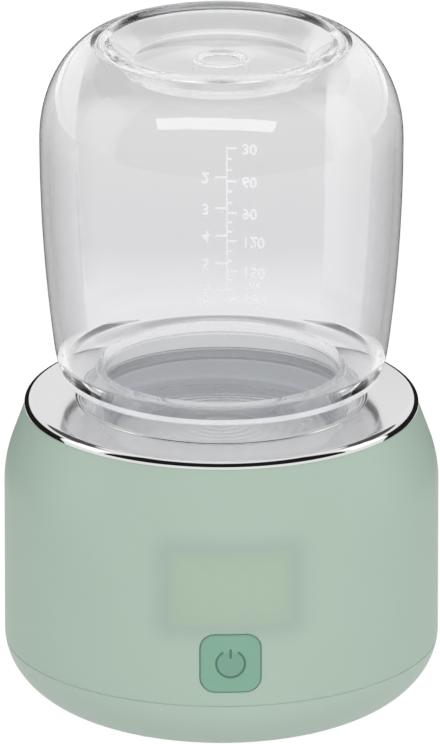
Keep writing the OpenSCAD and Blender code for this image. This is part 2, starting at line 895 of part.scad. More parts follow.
module usb_port() {
    y_mouth = shell_r - socket_recess;
    y_back = board_r - socket_seat;
    color("#c9cbcd")
        translate([0, 0, z_board_low - socket_h / 2])
            union() {
                difference() {
                    facing_front(y_back, y_mouth - y_back)
                        slot_outline(socket_w, socket_h);
                    facing_front(y_back + socket_t, y_mouth - y_back)
                        slot_outline(socket_w - 2 * socket_t, socket_h - 2 * socket_t);
                }
                facing_front(y_back, y_mouth - y_back - socket_recess)
                    square([tongue_w, tongue_t], center = true);
            }
}

module display_board() {
    color("#2f6b4a")
        difference() {
            translate([-display_board_w / 2, y_board, z_display_board])
                cube([display_board_w, board_t, display_board_h]);
            for (i = [-1, 1])
                translate([i * display_boss_x, y_board + board_t + over, z_button])
                    rotate([90, 0, 0])
                        shank_hole(board_t + over);
        }
}

module display_screws() {
    color("#c0c2c4")
        for (i = [-1, 1])
            translate([i * display_boss_x, y_board + board_t, z_button])
                rotate([90, 0, 0])
                    screw_up(short_shank_l);
}

module led_display() {
    color("#d9ddd8")
        translate([-display_w / 2, y_face, z_display - display_h / 2])
            cube([display_w, display_d, display_h]);
}

module display_diffuser() {
    color("#eef0ea")
        intersection() {
            cylinder(r = shell_r - window_wall - diffuser_gap, h = z_plate);
            translate([0, 0, z_display])
                facing_front(-shell_r, shell_r + y_face)
                    square([display_w, display_h], center = true);
        }
}

module tact_switch() {
    color("#33363a")
        difference() {
            translate([-switch_w / 2, y_switch, z_button - switch_w / 2])
                cube([switch_w, y_board - y_switch, switch_w]);
            translate([0, y_switch + plunger_in + button_travel + plunger_gap, z_button])
                rotate([90, 0, 0])
                    cylinder(r = plunger_r + plunger_gap, h = shell_wall * 2);
        }
}

module switch_plunger() {
    color("#8d3b34")
        translate([0, y_switch + plunger_in, z_button])
            rotate([90, 0, 0])
                cylinder(r = plunger_r, h = plunger_in + plunger_l);
}

module power_button() {
    color("#86b09c")
        difference() {
            union() {
                intersection() {
                    cylinder(r = shell_r + button_proud, h = z_plate);
                    translate([0, 0, z_button])
                        facing_front(-shell_r - over, shell_r + over + y_edge)
                            rounded_outline(button_w, button_w, button_round);
                }
                translate([0, 0, z_button])
                    facing_front(y_edge, button_edge_t)
                        rounded_outline(2 * edge_half, 2 * edge_half, button_round);
            }
            difference() {
                translate([0, 0, z_button])
                    facing_front(-shell_r - over, shell_wall)
                        power_symbol();
                cylinder(r = shell_r + button_proud - symbol_depth, h = z_plate);
            }
        }
}

module battery_cells() {
    color("#7aa7c7")
        across(-cell_l / 2, cell_l / 2)
            cell_ends(cell_r);
}

// Holder for one end of the four cells, on the +X side
module cell_holder() {
    difference() {
        across(holder_x, holder_end_x) {
            cell_ends(holder_r);
            translate([0, z_cell + pack_h / 2])
                square([cell_pitch, pack_h + cell_r], center = true);
        }
        across(holder_x - over, cell_l / 2)
            cell_ends(cell_r + cell_fit);
        across(holder_x, holder_end_x + over)
            cell_ends(pad_r + pad_gap);
    }
}

module left_cell_holder() {
    color("#3b3f44")
        mirror([1, 0, 0])
            cell_holder();
}

module right_cell_holder() {
    color("#3b3f44")
        cell_holder();
}

module cell_tabs() {
    color("#b9bcbf")
        for (i = [0, 1], y = [-1, 1])
            mirror([i, 0, 0]) {
                across(cell_l / 2, holder_end_x + tab_t)
                    for (k = [0:cell_layers - 1])
                        translate([y * cell_pitch / 2, z_cell + k * cell_pitch])
                            circle(pad_r);
                across(holder_end_x, holder_end_x + tab_t)
                    translate([y * cell_pitch / 2, z_cell + pack_h / 2])
                        square([tab_w, pack_h + tab_w], center = true);
            }
}

module battery_leads() {
    color("#b33a32")
        for (i = [-1, 1])
            translate([i * lead_x, cell_pitch / 2, z_cell + pack_h])
                cylinder(r = lead_r, h = z_board_low - z_cell - pack_h);
}

module foam_pads() {
    color("#55585a")
        for (i = [-1, 1])
            translate([i * (holder_x + holder_end_x) / 2 - foam_w / 2, -foam_l / 2, z_holder_top])
                cube([foam_w, foam_l, z_board_low - z_holder_top]);
}

module adapter_ring() {
    color("#cfd6da")
        union() {
            difference() {
                flat_ring(adapter_bore_r, adapter_r, z_flange, z_adapter_top);
                flat_ring(adapter_r - seal_groove, adapter_r + over, z_flange + seal_lift,
                    z_flange + seal_lift + seal_h);
            }
            thread_ridge(adapter_bore_r + thread_gap, adapter_ridge_r, z_adapter_ridge);
        }
}

module adapter_seal() {
    color("#e6e4de")
        flat_ring(adapter_r - seal_groove, well_r - seal_fit, z_flange + seal_lift, z_flange + seal_lift + seal_h);
}

module bottle_gasket() {
    color("#e6e4de")
        flat_ring(crown_r + gasket_gap, neck_r, z_flange, z_rim);
}

module bottle() {
    outline = concat(
        [[neck_bore_r, z_rim], [neck_r, z_rim], [neck_r, z_shelf]],
        arc(low_x, low_z, lower_bend_r, -low_a, -side_a),
        arc(side_x, z_mid, side_bend_r, -side_a * (1 - 1 / arc_steps), 0),
        arc(dome_x, z_mid, dome_w, dome_end_a / arc_steps, dome_end_a, dome_h),
        arc(ring_r, ring_z, ring_section_r, 10, 140),
        [[recess_r, recess_z], [gate_r + gate_h, recess_z], [gate_r, recess_z + gate_h], [0, recess_z + gate_h]],
        [[0, recess_z - recess_t], [recess_r + bottle_wall / 2, recess_z - recess_t]],
        arc(dome_x, z_mid, dome_w - bottle_wall, dome_in_a, 0, dome_h - bottle_wall),
        arc(side_x, z_mid, side_bend_r - bottle_wall, -side_a / arc_steps, -side_a * (1 - 1 / arc_steps)),
        arc(low_x, low_z, lower_bend_r - bottle_wall, -side_a, -low_in_a),
        [[neck_bore_r, z_shelf + shelf_t]]
    );
    color("#dfe6e8")
        union() {
            rotate_extrude()
                polygon(outline);
            thread_ridge(neck_r - thread_gap, ridge_r, z_bottle_ridge);
        }
}

outer_shell();
base_cap();
base_seal();
rubber_feet();
base_screws();
top_plate();
plate_gasket();
heater_plate();
plate_seal();
heater_disc();
insulation_pad();
temp_sensor();
heater_leads();
inner_frame();
frame_screws();
control_board();
board_screws();
board_components();
board_connector();
usb_port();
display_board();
display_screws();
led_display();
display_diffuser();
tact_switch();
switch_plunger();
power_button();
battery_cells();
left_cell_holder();
right_cell_holder();
cell_tabs();
battery_leads();
foam_pads();
adapter_ring();
adapter_seal();
bottle_gasket();
bottle();
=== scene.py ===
# %% [markdown]
# # A portable bottle warmer, dressed on its CAD frame
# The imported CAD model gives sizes, bodies and joints, and this script gives the looks. It could
# paint the CAD meshes, but chrome and clear plastic show every facet. So each piece that shows is
# worked out again as a smooth surface with numpy, from the same sizes, and rides on its CAD body.

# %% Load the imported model
import json
import math

import bmesh
import bpy
import numpy as np
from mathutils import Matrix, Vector


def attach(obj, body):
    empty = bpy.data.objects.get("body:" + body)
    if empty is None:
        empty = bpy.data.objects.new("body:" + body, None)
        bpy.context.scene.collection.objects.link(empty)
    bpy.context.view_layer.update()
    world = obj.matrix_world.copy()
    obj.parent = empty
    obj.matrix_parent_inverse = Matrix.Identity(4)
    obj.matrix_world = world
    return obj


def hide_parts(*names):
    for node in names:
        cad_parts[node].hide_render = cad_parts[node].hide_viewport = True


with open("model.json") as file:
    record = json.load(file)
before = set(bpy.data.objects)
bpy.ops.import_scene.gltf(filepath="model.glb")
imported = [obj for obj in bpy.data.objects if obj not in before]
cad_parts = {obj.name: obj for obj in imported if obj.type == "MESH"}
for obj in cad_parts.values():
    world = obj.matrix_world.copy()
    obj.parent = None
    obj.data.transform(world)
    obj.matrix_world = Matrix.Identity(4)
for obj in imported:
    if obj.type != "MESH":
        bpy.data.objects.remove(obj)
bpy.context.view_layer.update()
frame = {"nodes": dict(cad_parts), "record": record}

# %% [markdown]
# ## Camera
# A product shot is taken from a few metres away with a long lens, so upright sides stay upright.
# The camera sits a little left of the front and about twenty degrees above the table. It comes
# first, so that every later piece can be judged in the right view.

# %% Place the camera
MM, scene = 0.001, bpy.context.scene
LENS, SENSOR, FAR_END = 930.9, 36.0, 20.0
TURN, RISE, AWAY = math.radians(-2.4), math.radians(19.6), 4.0
AIM = np.array([-0.3, 0.0, 71.9]) * MM
TOWARDS = np.array([math.sin(TURN) * math.cos(RISE), -math.cos(TURN) * math.cos(RISE), math.sin(RISE)])


def linked(name, data):
    """New object in the scene for a mesh, a curve, a lamp or a camera."""
    made = bpy.data.objects.new(name, data)
    scene.collection.objects.link(made)
    return made


def aim_at(holder, place, target):
    """Puts a camera or lamp at a place with its -Z axis towards the target."""
    holder.location = place
    holder.rotation_euler = Vector(np.subtract(target, place)).to_track_quat("-Z", "Y").to_euler()


camera = linked("camera", bpy.data.cameras.new("camera"))
camera.data.lens, camera.data.sensor_width, camera.data.clip_end = LENS, SENSOR, FAR_END
aim_at(camera, AIM + AWAY * TOWARDS, AIM)
scene.camera = camera
print("camera", np.round(camera.location, 3).tolist())

# %% [markdown]
# ## Writing shaders as sums
# A shader is a graph of nodes. Wiring it by hand hides the idea, so two small classes do it here:
# `Signal` wraps an output socket and turns `+ - * /` into Math nodes, and `Finish` owns one
# material and makes any other node with a single method.

# %% Signals and finishes
class Signal:
    """An output socket that takes part in sums; each operator adds one Math node."""

    def __init__(self, finish, socket):
        self.finish, self.socket = finish, socket

    def math(self, operation, *others):
        return self.finish.node("ShaderNodeMath", {"operation": operation}, [self, *others])

    def __add__(self, other): return self.math("ADD", other)
    def __sub__(self, other): return self.math("SUBTRACT", other)
    def __mul__(self, other): return self.math("MULTIPLY", other)
    def __truediv__(self, other): return self.math("DIVIDE", other)
    def __rsub__(self, other): return self * -1.0 + other
    __radd__ = __add__

    def rise(self, start, end):
        """0 at start and 1 at end, straight between and level beyond."""
        return ((self - start) / (end - start)).math("MAXIMUM", 0.0).math("MINIMUM", 1.0)


def linear(red, green, blue):
    """Screen colour of 0 to 255 as linear light, with the sRGB curve, and an alpha of 1."""
    c = np.array([red, green, blue]) / 255.0
    return tuple(np.where(c <= 0.04045, c / 12.92, ((c + 0.055) / 1.055) ** 2.4)) + (1.0,)


def dimmed(colour, share):
    """The same colour with its light cut by a share."""
    return tuple(c * (1.0 - share) for c in colour[:3]) + (1.0,)


class Finish:
    """One material, or a world: makes nodes, links signals and sets plain values on sockets."""

    def __init__(self, name, library=bpy.data.materials):
        self.material = library.new(name)
        self.material.use_nodes = True
        self.tree = self.material.node_tree
        self.tree.nodes.clear()

    def node(self, kind, settings=None, inputs=(), output=0):
        """Makes a node, sets its settings first, then its sockets by name or by order."""
        made = self.tree.nodes.new(kind)
        for key, value in (settings or {}).items():
            setattr(made, key, value)
        pairs = inputs.items() if isinstance(inputs, dict) else enumerate(inputs)
        for key, value in pairs:
            if isinstance(value, Signal):
                self.tree.links.new(value.socket, made.inputs[key])
            else:
                made.inputs[key].default_value = value
        return Signal(self, made.outputs[output]) if len(made.outputs) else made

    def place(self):
        """Object coordinates, in metres from the object's origin."""
        return self.node("ShaderNodeTexCoord", output="Object")

    def axis(self, number):
        """Object coordinate x, y or z, for 0, 1 or 2."""
        return self.node("ShaderNodeSeparateXYZ", {}, [self.place()], number)

    def mark(self, name):
        """A value that the mesh carries at its points."""
        return self.node("ShaderNodeAttribute", {"attribute_name": name}, output="Fac")

    def ray(self, kind):
        """What the light path says about the ray."""
        return self.node("ShaderNodeLightPath", output=kind)

    def noise(self, size_mm, detail=2.0, where=None):
        """Soft noise between 0 and 1 whose grains are about size_mm across."""
        return self.node("ShaderNodeTexNoise", {}, {
            "Vector": where or self.place(), "Scale": 1.0 / (size_mm * MM), "Detail": detail}, "Fac")

    def mix(self, share, first, second):
        """Colour that goes from first to second as share goes from 0 to 1."""
        return self.node("ShaderNodeMix", {"data_type": "RGBA", "clamp_factor": True},
                         {0: share, 6: first, 7: second}, 2)

    def bump(self, height, depth_mm, strength=1.0):
        """Normal of a relief whose height signal of 0 to 1 stands depth_mm tall."""
        return self.node("ShaderNodeBump", {}, {
            "Strength": strength, "Distance": depth_mm * MM, "Height": height})

    def done(self, **sockets):
        """Material of a principled shader with the given sockets, named with _ for a space."""
        named = {key.replace("_", " "): value for key, value in sockets.items()}
        return self.surface(self.node("ShaderNodeBsdfPrincipled", {}, named))

    def surface(self, shader):
        """Links a shader to the output, and gives the material."""
        self.node("ShaderNodeOutputMaterial", {}, [shader])
        return self.material


print("shader helpers ready")

# %% [markdown]
# ## Moulded plastic
# The body is moulded in sage green with a fine spark-eroded texture, so it looks soft and nearly
# matt. One recipe serves all moulded pieces: a faint drift in the colour, a fine grain for the
# bump, and a roughness that follows the grain.

# %% Recipes for plastic, rubber and metal
def moulded(name, colour, rough, grain_mm=0.35, depth_mm=0.006, drift=0.04):
    """Colour drifts by a 14 mm noise, and roughness and bump follow a fine grain."""
    f = Finish(name)
    cloud, grain = f.noise(14.0), f.noise(grain_mm, 3.0)
    return f.done(Base_Color=f.mix(cloud, dimmed(colour, drift), colour),
                  Roughness=rough - 0.06 + grain * 0.12, Normal=f.bump(grain, depth_mm))


def brushed(name, colour, rough):
    """Bare metal: faint smudges 9 mm wide in the roughness and a fine grain in the bump."""
    f = Finish(name)
    smudge, grain = f.noise(9.0, 3.0), f.noise(0.5)
    return f.done(Base_Color=f.mix(smudge, dimmed(colour, 0.07), colour), Metallic=1.0,
                  Roughness=rough * 0.75 + smudge * (rough * 0.5), Normal=f.bump(grain, 0.002))


print("recipes ready")

# %% [markdown]
# ## The green shell and the hidden display
# The display sits behind the shell and shows only as a window with the ghosts of three digits.
# Round the window the shell is darker: partly the display's frame seen through the wall, partly
# painted shade that dims the front. An image could carry that, but a vertex attribute is sharper
# and needs no file: the mesh knows where the window and the segments lie, and the shader only mixes.

# %% Finish of the shell, and all plain finishes
def shell_finish():
    """Sage plastic; frame_and_painted_shade darkens it round the window, part frame and part painted shade,
    window pales that again, and ghost warms it.
    """
    f = Finish("mint_shell")
    cloud, grain = f.noise(16.0), f.noise(0.35, 3.0)
    skin = f.mix(cloud, linear(170, 190, 175), linear(174, 194, 180))
    # The first mark paints shade round the display's window; the other two are the display seen through the
    # wall
    for mark, share, colour in (("frame_and_painted_shade", 0.75, (158, 177, 164)), ("window", 0.75, (167, 185, 168)),
                                ("ghost", 0.5, (172, 188, 166))):
        skin = f.mix(f.mark(mark) * share, skin, linear(*colour))
    return f.done(Base_Color=skin, Roughness=0.42 + grain * 0.12, Normal=f.bump(grain, 0.006),
                  Specular_IOR_Level=0.45)


def button_finish():
    """Deeper green satin plastic; attribute dish darkens the middle and groove the engraved sign, both
    painted shade in these hollows.
    """
    f = Finish("mint_button")
    cloud, grain = f.noise(5.0), f.noise(0.3, 3.0)
    skin = f.mix(cloud, linear(124, 168, 146), linear(129, 173, 151))
    # Painted shade in the dished middle, and deeper painted shade in the engraved sign
    skin = f.mix(f.mark("dish"), skin, linear(116, 158, 140))
    skin = f.mix(f.mark("groove"), skin, linear(88, 130, 111))
    return f.done(Base_Color=skin, Roughness=0.34 + grain * 0.1, Normal=f.bump(grain, 0.004))


# Screen colour, roughness, and where they differ from the recipe: grain, depth and drift
MOULDED = {
    "mint_base": ((178, 195, 183), 0.46),
    "dark_plastic": ((47, 49, 52), 0.5),
    "frame_plastic": ((228, 226, 218), 0.45),
    "plunger_red": ((150, 62, 54), 0.4),
    "display_face": ((214, 218, 212), 0.35, 0.2),
    "milky_window": ((235, 238, 231), 0.4, 0.2),
    "grey_rubber": ((92, 97, 95), 0.75, 0.25, 0.02),
    "lead_red": ((178, 52, 46), 0.42, 0.4),
    "foam": ((86, 89, 90), 0.95, 0.6, 0.25, 0.2),
    "felt": ((226, 222, 211), 0.95, 0.4, 0.15, 0.12),
}
BRUSHED = {
    "socket_steel": ((200, 203, 205), 0.28),
    "screw_steel": ((192, 194, 196), 0.32),
    "tab_nickel": ((190, 188, 182), 0.3),
}
FINISHES = {"mint_shell": shell_finish(), "mint_button": button_finish()}
for recipe, table in ((moulded, MOULDED), (brushed, BRUSHED)):
    FINISHES.update({name: recipe(name, linear(*rgb), *rest) for name, (rgb, *rest) in table.items()})
print(len(FINISHES), "plain finishes")

# %% [markdown]
# ## Chrome, steel, clear plastic and the electric parts
# The top plate is plated plastic, so it is a true mirror with hardly any grain. The heater plate
# is spun steel, with rings round its axis. The bottle is clear copolyester and the adapter milky.
# Boards get traces, cells a shrunk sleeve and the film heater its track.

# %% Finishes with a pattern of their own
def radius_signal(f):
    """Distance from the upright axis, in metres."""
    x, y = f.axis(0), f.axis(1)
    return (x * x + y * y).math("SQRT")


def ring_wave(f, pitch_mm):
    """Sine of the distance from the axis, with one wave for each pitch."""
    return (radius_signal(f) * (2.0 * math.pi / (pitch_mm * MM))).math("SINE")


def plated():
    """Mirror plating with a breath of haze in 12 mm patches, satin inside the polished rim."""
    f = Finish("plated_ring")
    haze = f.noise(12.0)
    deck = radius_signal(f).rise(39.6 * MM, 39.2 * MM)
    return f.done(Base_Color=f.mix(haze, linear(218, 218, 219), linear(224, 224, 224)), Metallic=1.0,
                  Roughness=0.035 + haze * 0.03 + deck * 0.09)


def spun_steel():
    """Pressed rings of 2.1 mm and turning marks of 0.45 mm round the axis, worn uneven by a noise."""
    f = Finish("stainless")
    smudge = f.noise(7.0, 3.0)
    pressed, marks = (ring_wave(f, pitch_mm) * 0.5 + 0.5 for pitch_mm in (2.1, 0.45))
    return f.done(Base_Color=f.mix(smudge, linear(228, 228, 229), linear(240, 240, 241)), Metallic=1.0,
                  Roughness=0.2 + smudge * 0.1,
                  Normal=f.bump(pressed * 0.92 + marks * 0.06 + smudge * 0.02, 0.06))


def clear_bottle():
    """Clear plastic with 9 mm waves, matt on the worn standing ring; its colour is painted shade by height,
    greyest at the neck and palest over the closed end.
    """
    f = Finish("clear_bottle")
    smudge, wave, height = f.noise(18.0), f.noise(9.0, 1.0), f.axis(2)
    belly, end, worn = (height.rise(low * MM, high * MM)
                        for low, high in ((70, 74), (118, 136), (141.4, 142.4)))
    # Painted shade: the clear plastic is made greyer at the neck and paler over the closed end
    painted_shade_tint = f.mix(end, f.mix(belly, linear(238, 239, 240), linear(241, 241, 242)), linear(247, 247, 247))
    return f.done(Base_Color=painted_shade_tint, Transmission_Weight=1.0, IOR=1.2, Coat_Weight=0.5, Coat_Roughness=0.03,
                  Roughness=0.02 + smudge * 0.03 + worn * 0.12, Normal=f.bump(wave, 0.02, 0.35))


def milky(name, colour, through, rough, glow):
    """Cloudy plastic: part of the light goes through, and the rest scatters in a drifting white.
    The glow stands for light that the wall carries down into the well."""
    f = Finish(name)
    cloud, grain = f.noise(6.0), f.noise(0.4, 3.0)
    white = f.mix(cloud, dimmed(colour, 0.07), colour)
    return f.done(Base_Color=white, Transmission_Weight=through, IOR=1.45, Roughness=rough + grain * 0.08,
                  Normal=f.bump(grain, 0.003), Emission_Color=white, Emission_Strength=glow)


def board():
    """Green solder mask with traces: bands of a wave in two directions, cut by a coarse noise."""
    f = Finish("circuit_board")
    where = f.place()
    bands = {"Vector": where, "Scale": 320.0, "Distortion": 1.5, "Detail": 0.0}
    across, along = (f.node("ShaderNodeTexWave", {"bands_direction": axis}, bands, "Fac") for axis in "XY")
    region = f.noise(7.0, 0.0, where).rise(0.48, 0.5)
    copper = (across * region + along * (1.0 - region)).rise(0.62, 0.68)
    return f.done(Base_Color=f.mix(copper, linear(38, 98, 66), linear(66, 132, 90)),
                  Roughness=0.3 + copper * 0.12, Normal=f.bump(copper, 0.03))


def cell_sleeve():
    """Blue shrink sleeve with faint creases along the cell: noise stretched along X."""
    f = Finish("cell_wrap")
    along = f.node("ShaderNodeMapping", {}, {"Vector": f.place(), "Scale": (0.12, 1.0, 1.0)})
    crease = f.noise(1.6, 2.0, along)
    return f.done(Base_Color=f.mix(crease, linear(92, 140, 178), linear(122, 168, 200)),
                  Roughness=0.28 + crease * 0.1, Normal=f.bump(crease, 0.03))


def heater_track():
    """Orange film with the etched heating track as rings of 2.4 mm."""
    f = Finish("heater_film")
    track = ring_wave(f, 2.4).rise(0.05, 0.2)
    return f.done(Base_Color=f.mix(track, linear(186, 118, 62), linear(150, 140, 132)),
                  Metallic=track * 0.8, Roughness=0.5 - track * 0.18, Normal=f.bump(track, 0.03))


FINISHES.update({
    "plated_ring": plated(), "stainless": spun_steel(), "clear_bottle": clear_bottle(),
    "milky_adapter": milky("milky_adapter", linear(214, 216, 219), through=0.1, rough=0.25, glow=0.36),
    "silicone": milky("silicone", linear(244, 245, 244), through=0.05, rough=0.42, glow=0.15),
    "circuit_board": board(), "cell_wrap": cell_sleeve(), "heater_film": heater_track(),
})
print(len(FINISHES), "finishes so far")

# %% [markdown]
# ## From arrays to meshes
# A sheet is a grid of points with quads between neighbours. A piece is one or more sheets, welded
# so that seams and poles close, turned outwards and shaded smooth up to a chosen angle.

# %% Sheets and pieces
WELD = 0.002 * MM


def sheet(points, loop_rows=False, loop_columns=True):
    """Quads (i,j), (i,j+1), (i+1,j+1), (i+1,j) over an (n, m, 3) grid, closed where asked."""
    n, m = points.shape[:2]
    i, j = np.meshgrid(np.arange(n if loop_rows else n - 1), np.arange(m if loop_columns else m - 1),
                       indexing="ij")
    down, right = (i + 1) % n, (j + 1) % m
    quads = np.stack([i * m + j, i * m + right, down * m + right, down * m + j], -1)
    return points.reshape(-1, 3), quads.reshape(-1, 4)


def mesh_object(name, points, faces, finish):
    """Object in the scene with points in metres and one finish."""
    mesh = bpy.data.meshes.new(name)
    mesh.from_pydata(np.asarray(points).tolist(), [], np.asarray(faces).tolist())
    mesh.materials.append(finish)
    return linked(name, mesh)


def points_of(mesh):
    """All points of a mesh as an (n, 3) array."""
    places = np.empty(len(mesh.vertices) * 3)
    mesh.vertices.foreach_get("co", places)
    return places.reshape(-1, 3)


def set_mark(mesh, name, values):
    """Stores one value at each point, for the shader to read."""
    mesh.attributes.new(name, "FLOAT", "POINT").data.foreach_set("value", values.astype(np.float32))


def weld(work):
    """Joins points that coincide, and turns all faces outwards."""
    bmesh.ops.remove_doubles(work, verts=work.verts, dist=WELD)
    bmesh.ops.recalc_face_normals(work, faces=work.faces)


def make_piece(name, sheets, body, slot, nodes=(), sharp=30.0, marks=None, finish=None):
    """Welds sheets (in mm) into one object that rides on a body and stands for CAD nodes."""
    starts = np.cumsum([0] + [len(p) for p, _ in sheets])
    points = np.concatenate([p for p, _ in sheets]) * MM
    faces = np.concatenate([q + s for (_, q), s in zip(sheets, starts)])
    piece = mesh_object(name, points, faces, FINISHES[finish or slot])
    mesh, work = piece.data, bmesh.new()
    work.from_mesh(mesh)
    weld(work)
    open_edges = sum(1 for e in work.edges if len(e.link_faces) != 2)
    work.to_mesh(mesh)
    work.free()
    mesh.shade_smooth()
    mesh.set_sharp_from_angle(angle=math.radians(sharp))
    for mark, formula in (marks or {}).items():
        set_mark(mesh, mark, formula(*(points_of(mesh).T / MM)))
    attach(piece, body)
    if nodes:
        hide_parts(*nodes)
    print(f"{name}: {len(mesh.polygons)} faces, {open_edges} open edges")
    return piece


print("mesh helpers ready")

# %% [markdown]
# ## Turned pieces
# Most pieces here are bodies of revolution, as their moulds are. A turned piece needs only its
# outline, so helpers draw outlines: arcs, and lines whose corners get a radius.

# %% Outlines and turning
def arc(x, z, r, start, end, steps=24, rz=None):
    """Points x + r cos a, z + rz sin a for a from start to end, in degrees."""
    a = np.radians(np.linspace(start, end, steps + 1))
    return np.stack([x + r * np.cos(a), z + (rz or r) * np.sin(a)], -1)


def rounded(corners, radii, steps=6):
    """Closed polygon with each corner rounded by a rational Bezier curve. It starts and ends
    r / tan(h) from the corner, h being half its angle, and the weight sin(h) makes it a circle."""
    p = np.asarray(corners, float)
    r = np.broadcast_to(np.asarray(radii, float), len(p))[:, None]
    back, ahead = np.roll(p, 1, 0) - p, np.roll(p, -1, 0) - p
    back_l, ahead_l = (np.linalg.norm(way, axis=1)[:, None] for way in (back, ahead))
    back, ahead = back / back_l, ahead / ahead_l
    half = np.arccos(np.clip((back * ahead).sum(1), -1, 1))[:, None] / 2
    reach = np.minimum(r / np.maximum(np.tan(half), 1e-6), 0.49 * np.minimum(back_l, ahead_l))
    a, b, w = p + back * reach, p + ahead * reach, np.sin(half)
    t = np.linspace(0, 1, steps + 1)[None, :, None]
    ka, kc, kb = (1 - t) ** 2, 2 * t * (1 - t) * w[:, None], t ** 2
    curve = (ka * a[:, None] + kc * p[:, None] + kb * b[:, None]) / (ka + kc + kb)
    return curve.reshape(-1, 2)


def fillets(corners, radii, steps=6):
    """Only the arcs at the inner corners of an open line."""
    return rounded(corners, [0.0, *radii, 0.0], steps)[steps + 1:-steps - 1]


def around(r, a, z):
    """Points r cos a, r sin a, z, over the grid that r, a and z span together."""
    return np.stack(np.broadcast_arrays(r * np.cos(a), r * np.sin(a), z), -1)


AROUND = np.radians(np.arange(-180.0, 180.0, 1.5))


def turned(outline, angles=AROUND, closed=True):
    """Outline (r, z) carried round the axis; one that ends on the axis is left open."""
    o = np.asarray(outline, float)
    return sheet(around(o[:, :1], angles, o[:, 1:]), loop_rows=closed)


print("turning", len(AROUND), "steps round")

# %% [markdown]
# ## The clear bottle
# The bottle stands on its mouth. Its wall is one closed skin, outside and inside, because light
# bends where it enters and where it leaves. The neck carries a screw thread, which is a height
# on the neck's own skin, so the plastic stays one body without walls inside it.

# %% Bottle
NECK_BORE, NECK_R, RIM_Z, SHELF_Z, SHELF_R, CREST_Z = 24.4, 26.1, 56.8, 71.8, 32.88, 145.0
RIM_IN, RIM_OUT, ROOT = 0.6, 0.7, 0.6
SIDE_X, SIDE_Z, SIDE_R, SIDE_A = -302.3, 123.5, 340.0, 7.6226
LOW_X, LOW_Z, LOW_R, LOW_FROM, LOW_IN_TO = 8.925, 81.849, 26.0, -20.5, -13.0
DOME_X, DOME_W, DOME_H, DOME_TO, DOME_IN_FROM = 22.2, 15.5, 21.8, 71.6, 82.34
RING_X, RING_R, RING_FROM, RING_TO, VALLEY = 24.0, 1.9, 22.0, 138.0, (26.05, 143.7)
THREAD_H, THREAD_LEAD, THREAD_TURNS, THREAD_W, THREAD_TOP_W, THREAD_TAPER = 1.0, 4.0, 1.05, 1.8, 1.0, 0.06
WALL, RECESS_Z, RECESS_T, RECESS_R, GATE_R, GATE_W, GATE_H = 2.0, 140.6, 2.4, 18.3, 5.6, 0.8, 0.4
FLOOR_IN_R, THROAT, BORE_TOP, BORE_STRAIGHT = 19.6, (32.1, 75.6), 74.2, 72.6


def ridge(angles, z, start_z):
    """Height of 0 to 1 of a ridge round z = start + lead * turn: a trapezium, tapered at both ends."""
    turn = np.mod(angles, 2 * math.pi) / (2 * math.pi) + np.arange(2)[:, None, None]
    off = np.abs(z - start_z - THREAD_LEAD * turn)
    flank = np.clip((THREAD_W / 2 - off) / (THREAD_W / 2 - THREAD_TOP_W / 2), 0, 1)
    taper = np.clip(np.minimum(turn, THREAD_TURNS - turn) / THREAD_TAPER, 0, 1)
    return (flank * taper).max(0)


def bottle_outline():
    """From the axis down the inside, round the rim, up the outside and over the closed end to the axis."""
    under = RECESS_Z - RECESS_T
    dome_in = arc(DOME_X, SIDE_Z, DOME_W - WALL, DOME_IN_FROM, 0, 36, DOME_H - WALL)
    lower_in = arc(LOW_X, LOW_Z, LOW_R - WALL, -SIDE_A, LOW_IN_TO, 10)[1:]
    inside = [
        [[0.0, under]], fillets([[0.0, under], [FLOOR_IN_R, under], dome_in[0]], [1.5], 8), dome_in,
        arc(SIDE_X, SIDE_Z, SIDE_R - WALL, 0, -SIDE_A, 28)[1:], lower_in,
        fillets([lower_in[-1], THROAT, [NECK_BORE, BORE_TOP], [NECK_BORE, RIM_Z]], [1.0, 1.2]),
        np.linspace([NECK_BORE, BORE_STRAIGHT], [NECK_BORE, RIM_Z + RIM_OUT], 8)]
    root = arc(NECK_R + ROOT, SHELF_Z - ROOT, ROOT, 180, 90, 6)
    lower = arc(LOW_X, LOW_Z, LOW_R, LOW_FROM, -SIDE_A, 16)
    dome = arc(DOME_X, SIDE_Z, DOME_W, 0, DOME_TO, 36, DOME_H)[1:]
    ring = arc(RING_X, CREST_Z - RING_R, RING_R, RING_FROM, RING_TO, 20)
    gate = [[RECESS_R, RECESS_Z], [GATE_R + GATE_H, RECESS_Z], [GATE_R, RECESS_Z + GATE_H],
            [GATE_R - GATE_W, RECESS_Z + GATE_H], [GATE_R - 2 * GATE_W, RECESS_Z - GATE_H],
            [0.0, RECESS_Z - GATE_H]]
    outside = [
        arc(NECK_BORE + RIM_IN, RIM_Z + RIM_IN, RIM_IN, 180, 270, 6),
        arc(NECK_R - RIM_OUT, RIM_Z + RIM_OUT, RIM_OUT, -90, 0, 6),
        np.linspace([NECK_R, RIM_Z + RIM_OUT], [NECK_R, SHELF_Z - ROOT], 64), root,
        fillets([root[-1], [SHELF_R, SHELF_Z], lower[0]], [1.1]), lower,
        arc(SIDE_X, SIDE_Z, SIDE_R, -SIDE_A, 0, 28)[1:], dome,
        fillets([dome[-1], VALLEY, ring[0]], [0.35]), ring,
        fillets([ring[-1], gate[0], gate[1]], [1.6], 8), fillets(gate, [0.2, 0.2, 0.3, 0.3], 5), gate[-1:]]
    return np.concatenate(inside + outside)


def threaded(outline, start_z, low_z, high_z, at_r, reach, closed):
    """Turned outline; at radius at_r, between two heights, it moves out by reach times the ridge."""
    r, z = outline[:, :1], outline[:, 1:]
    here = (np.abs(r - at_r) < 1e-6) & (z > low_z) & (z < high_z)
    r = r + np.where(here, reach * ridge(AROUND, z, start_z), 0.0)
    return sheet(around(r, AROUND, z), loop_rows=closed)


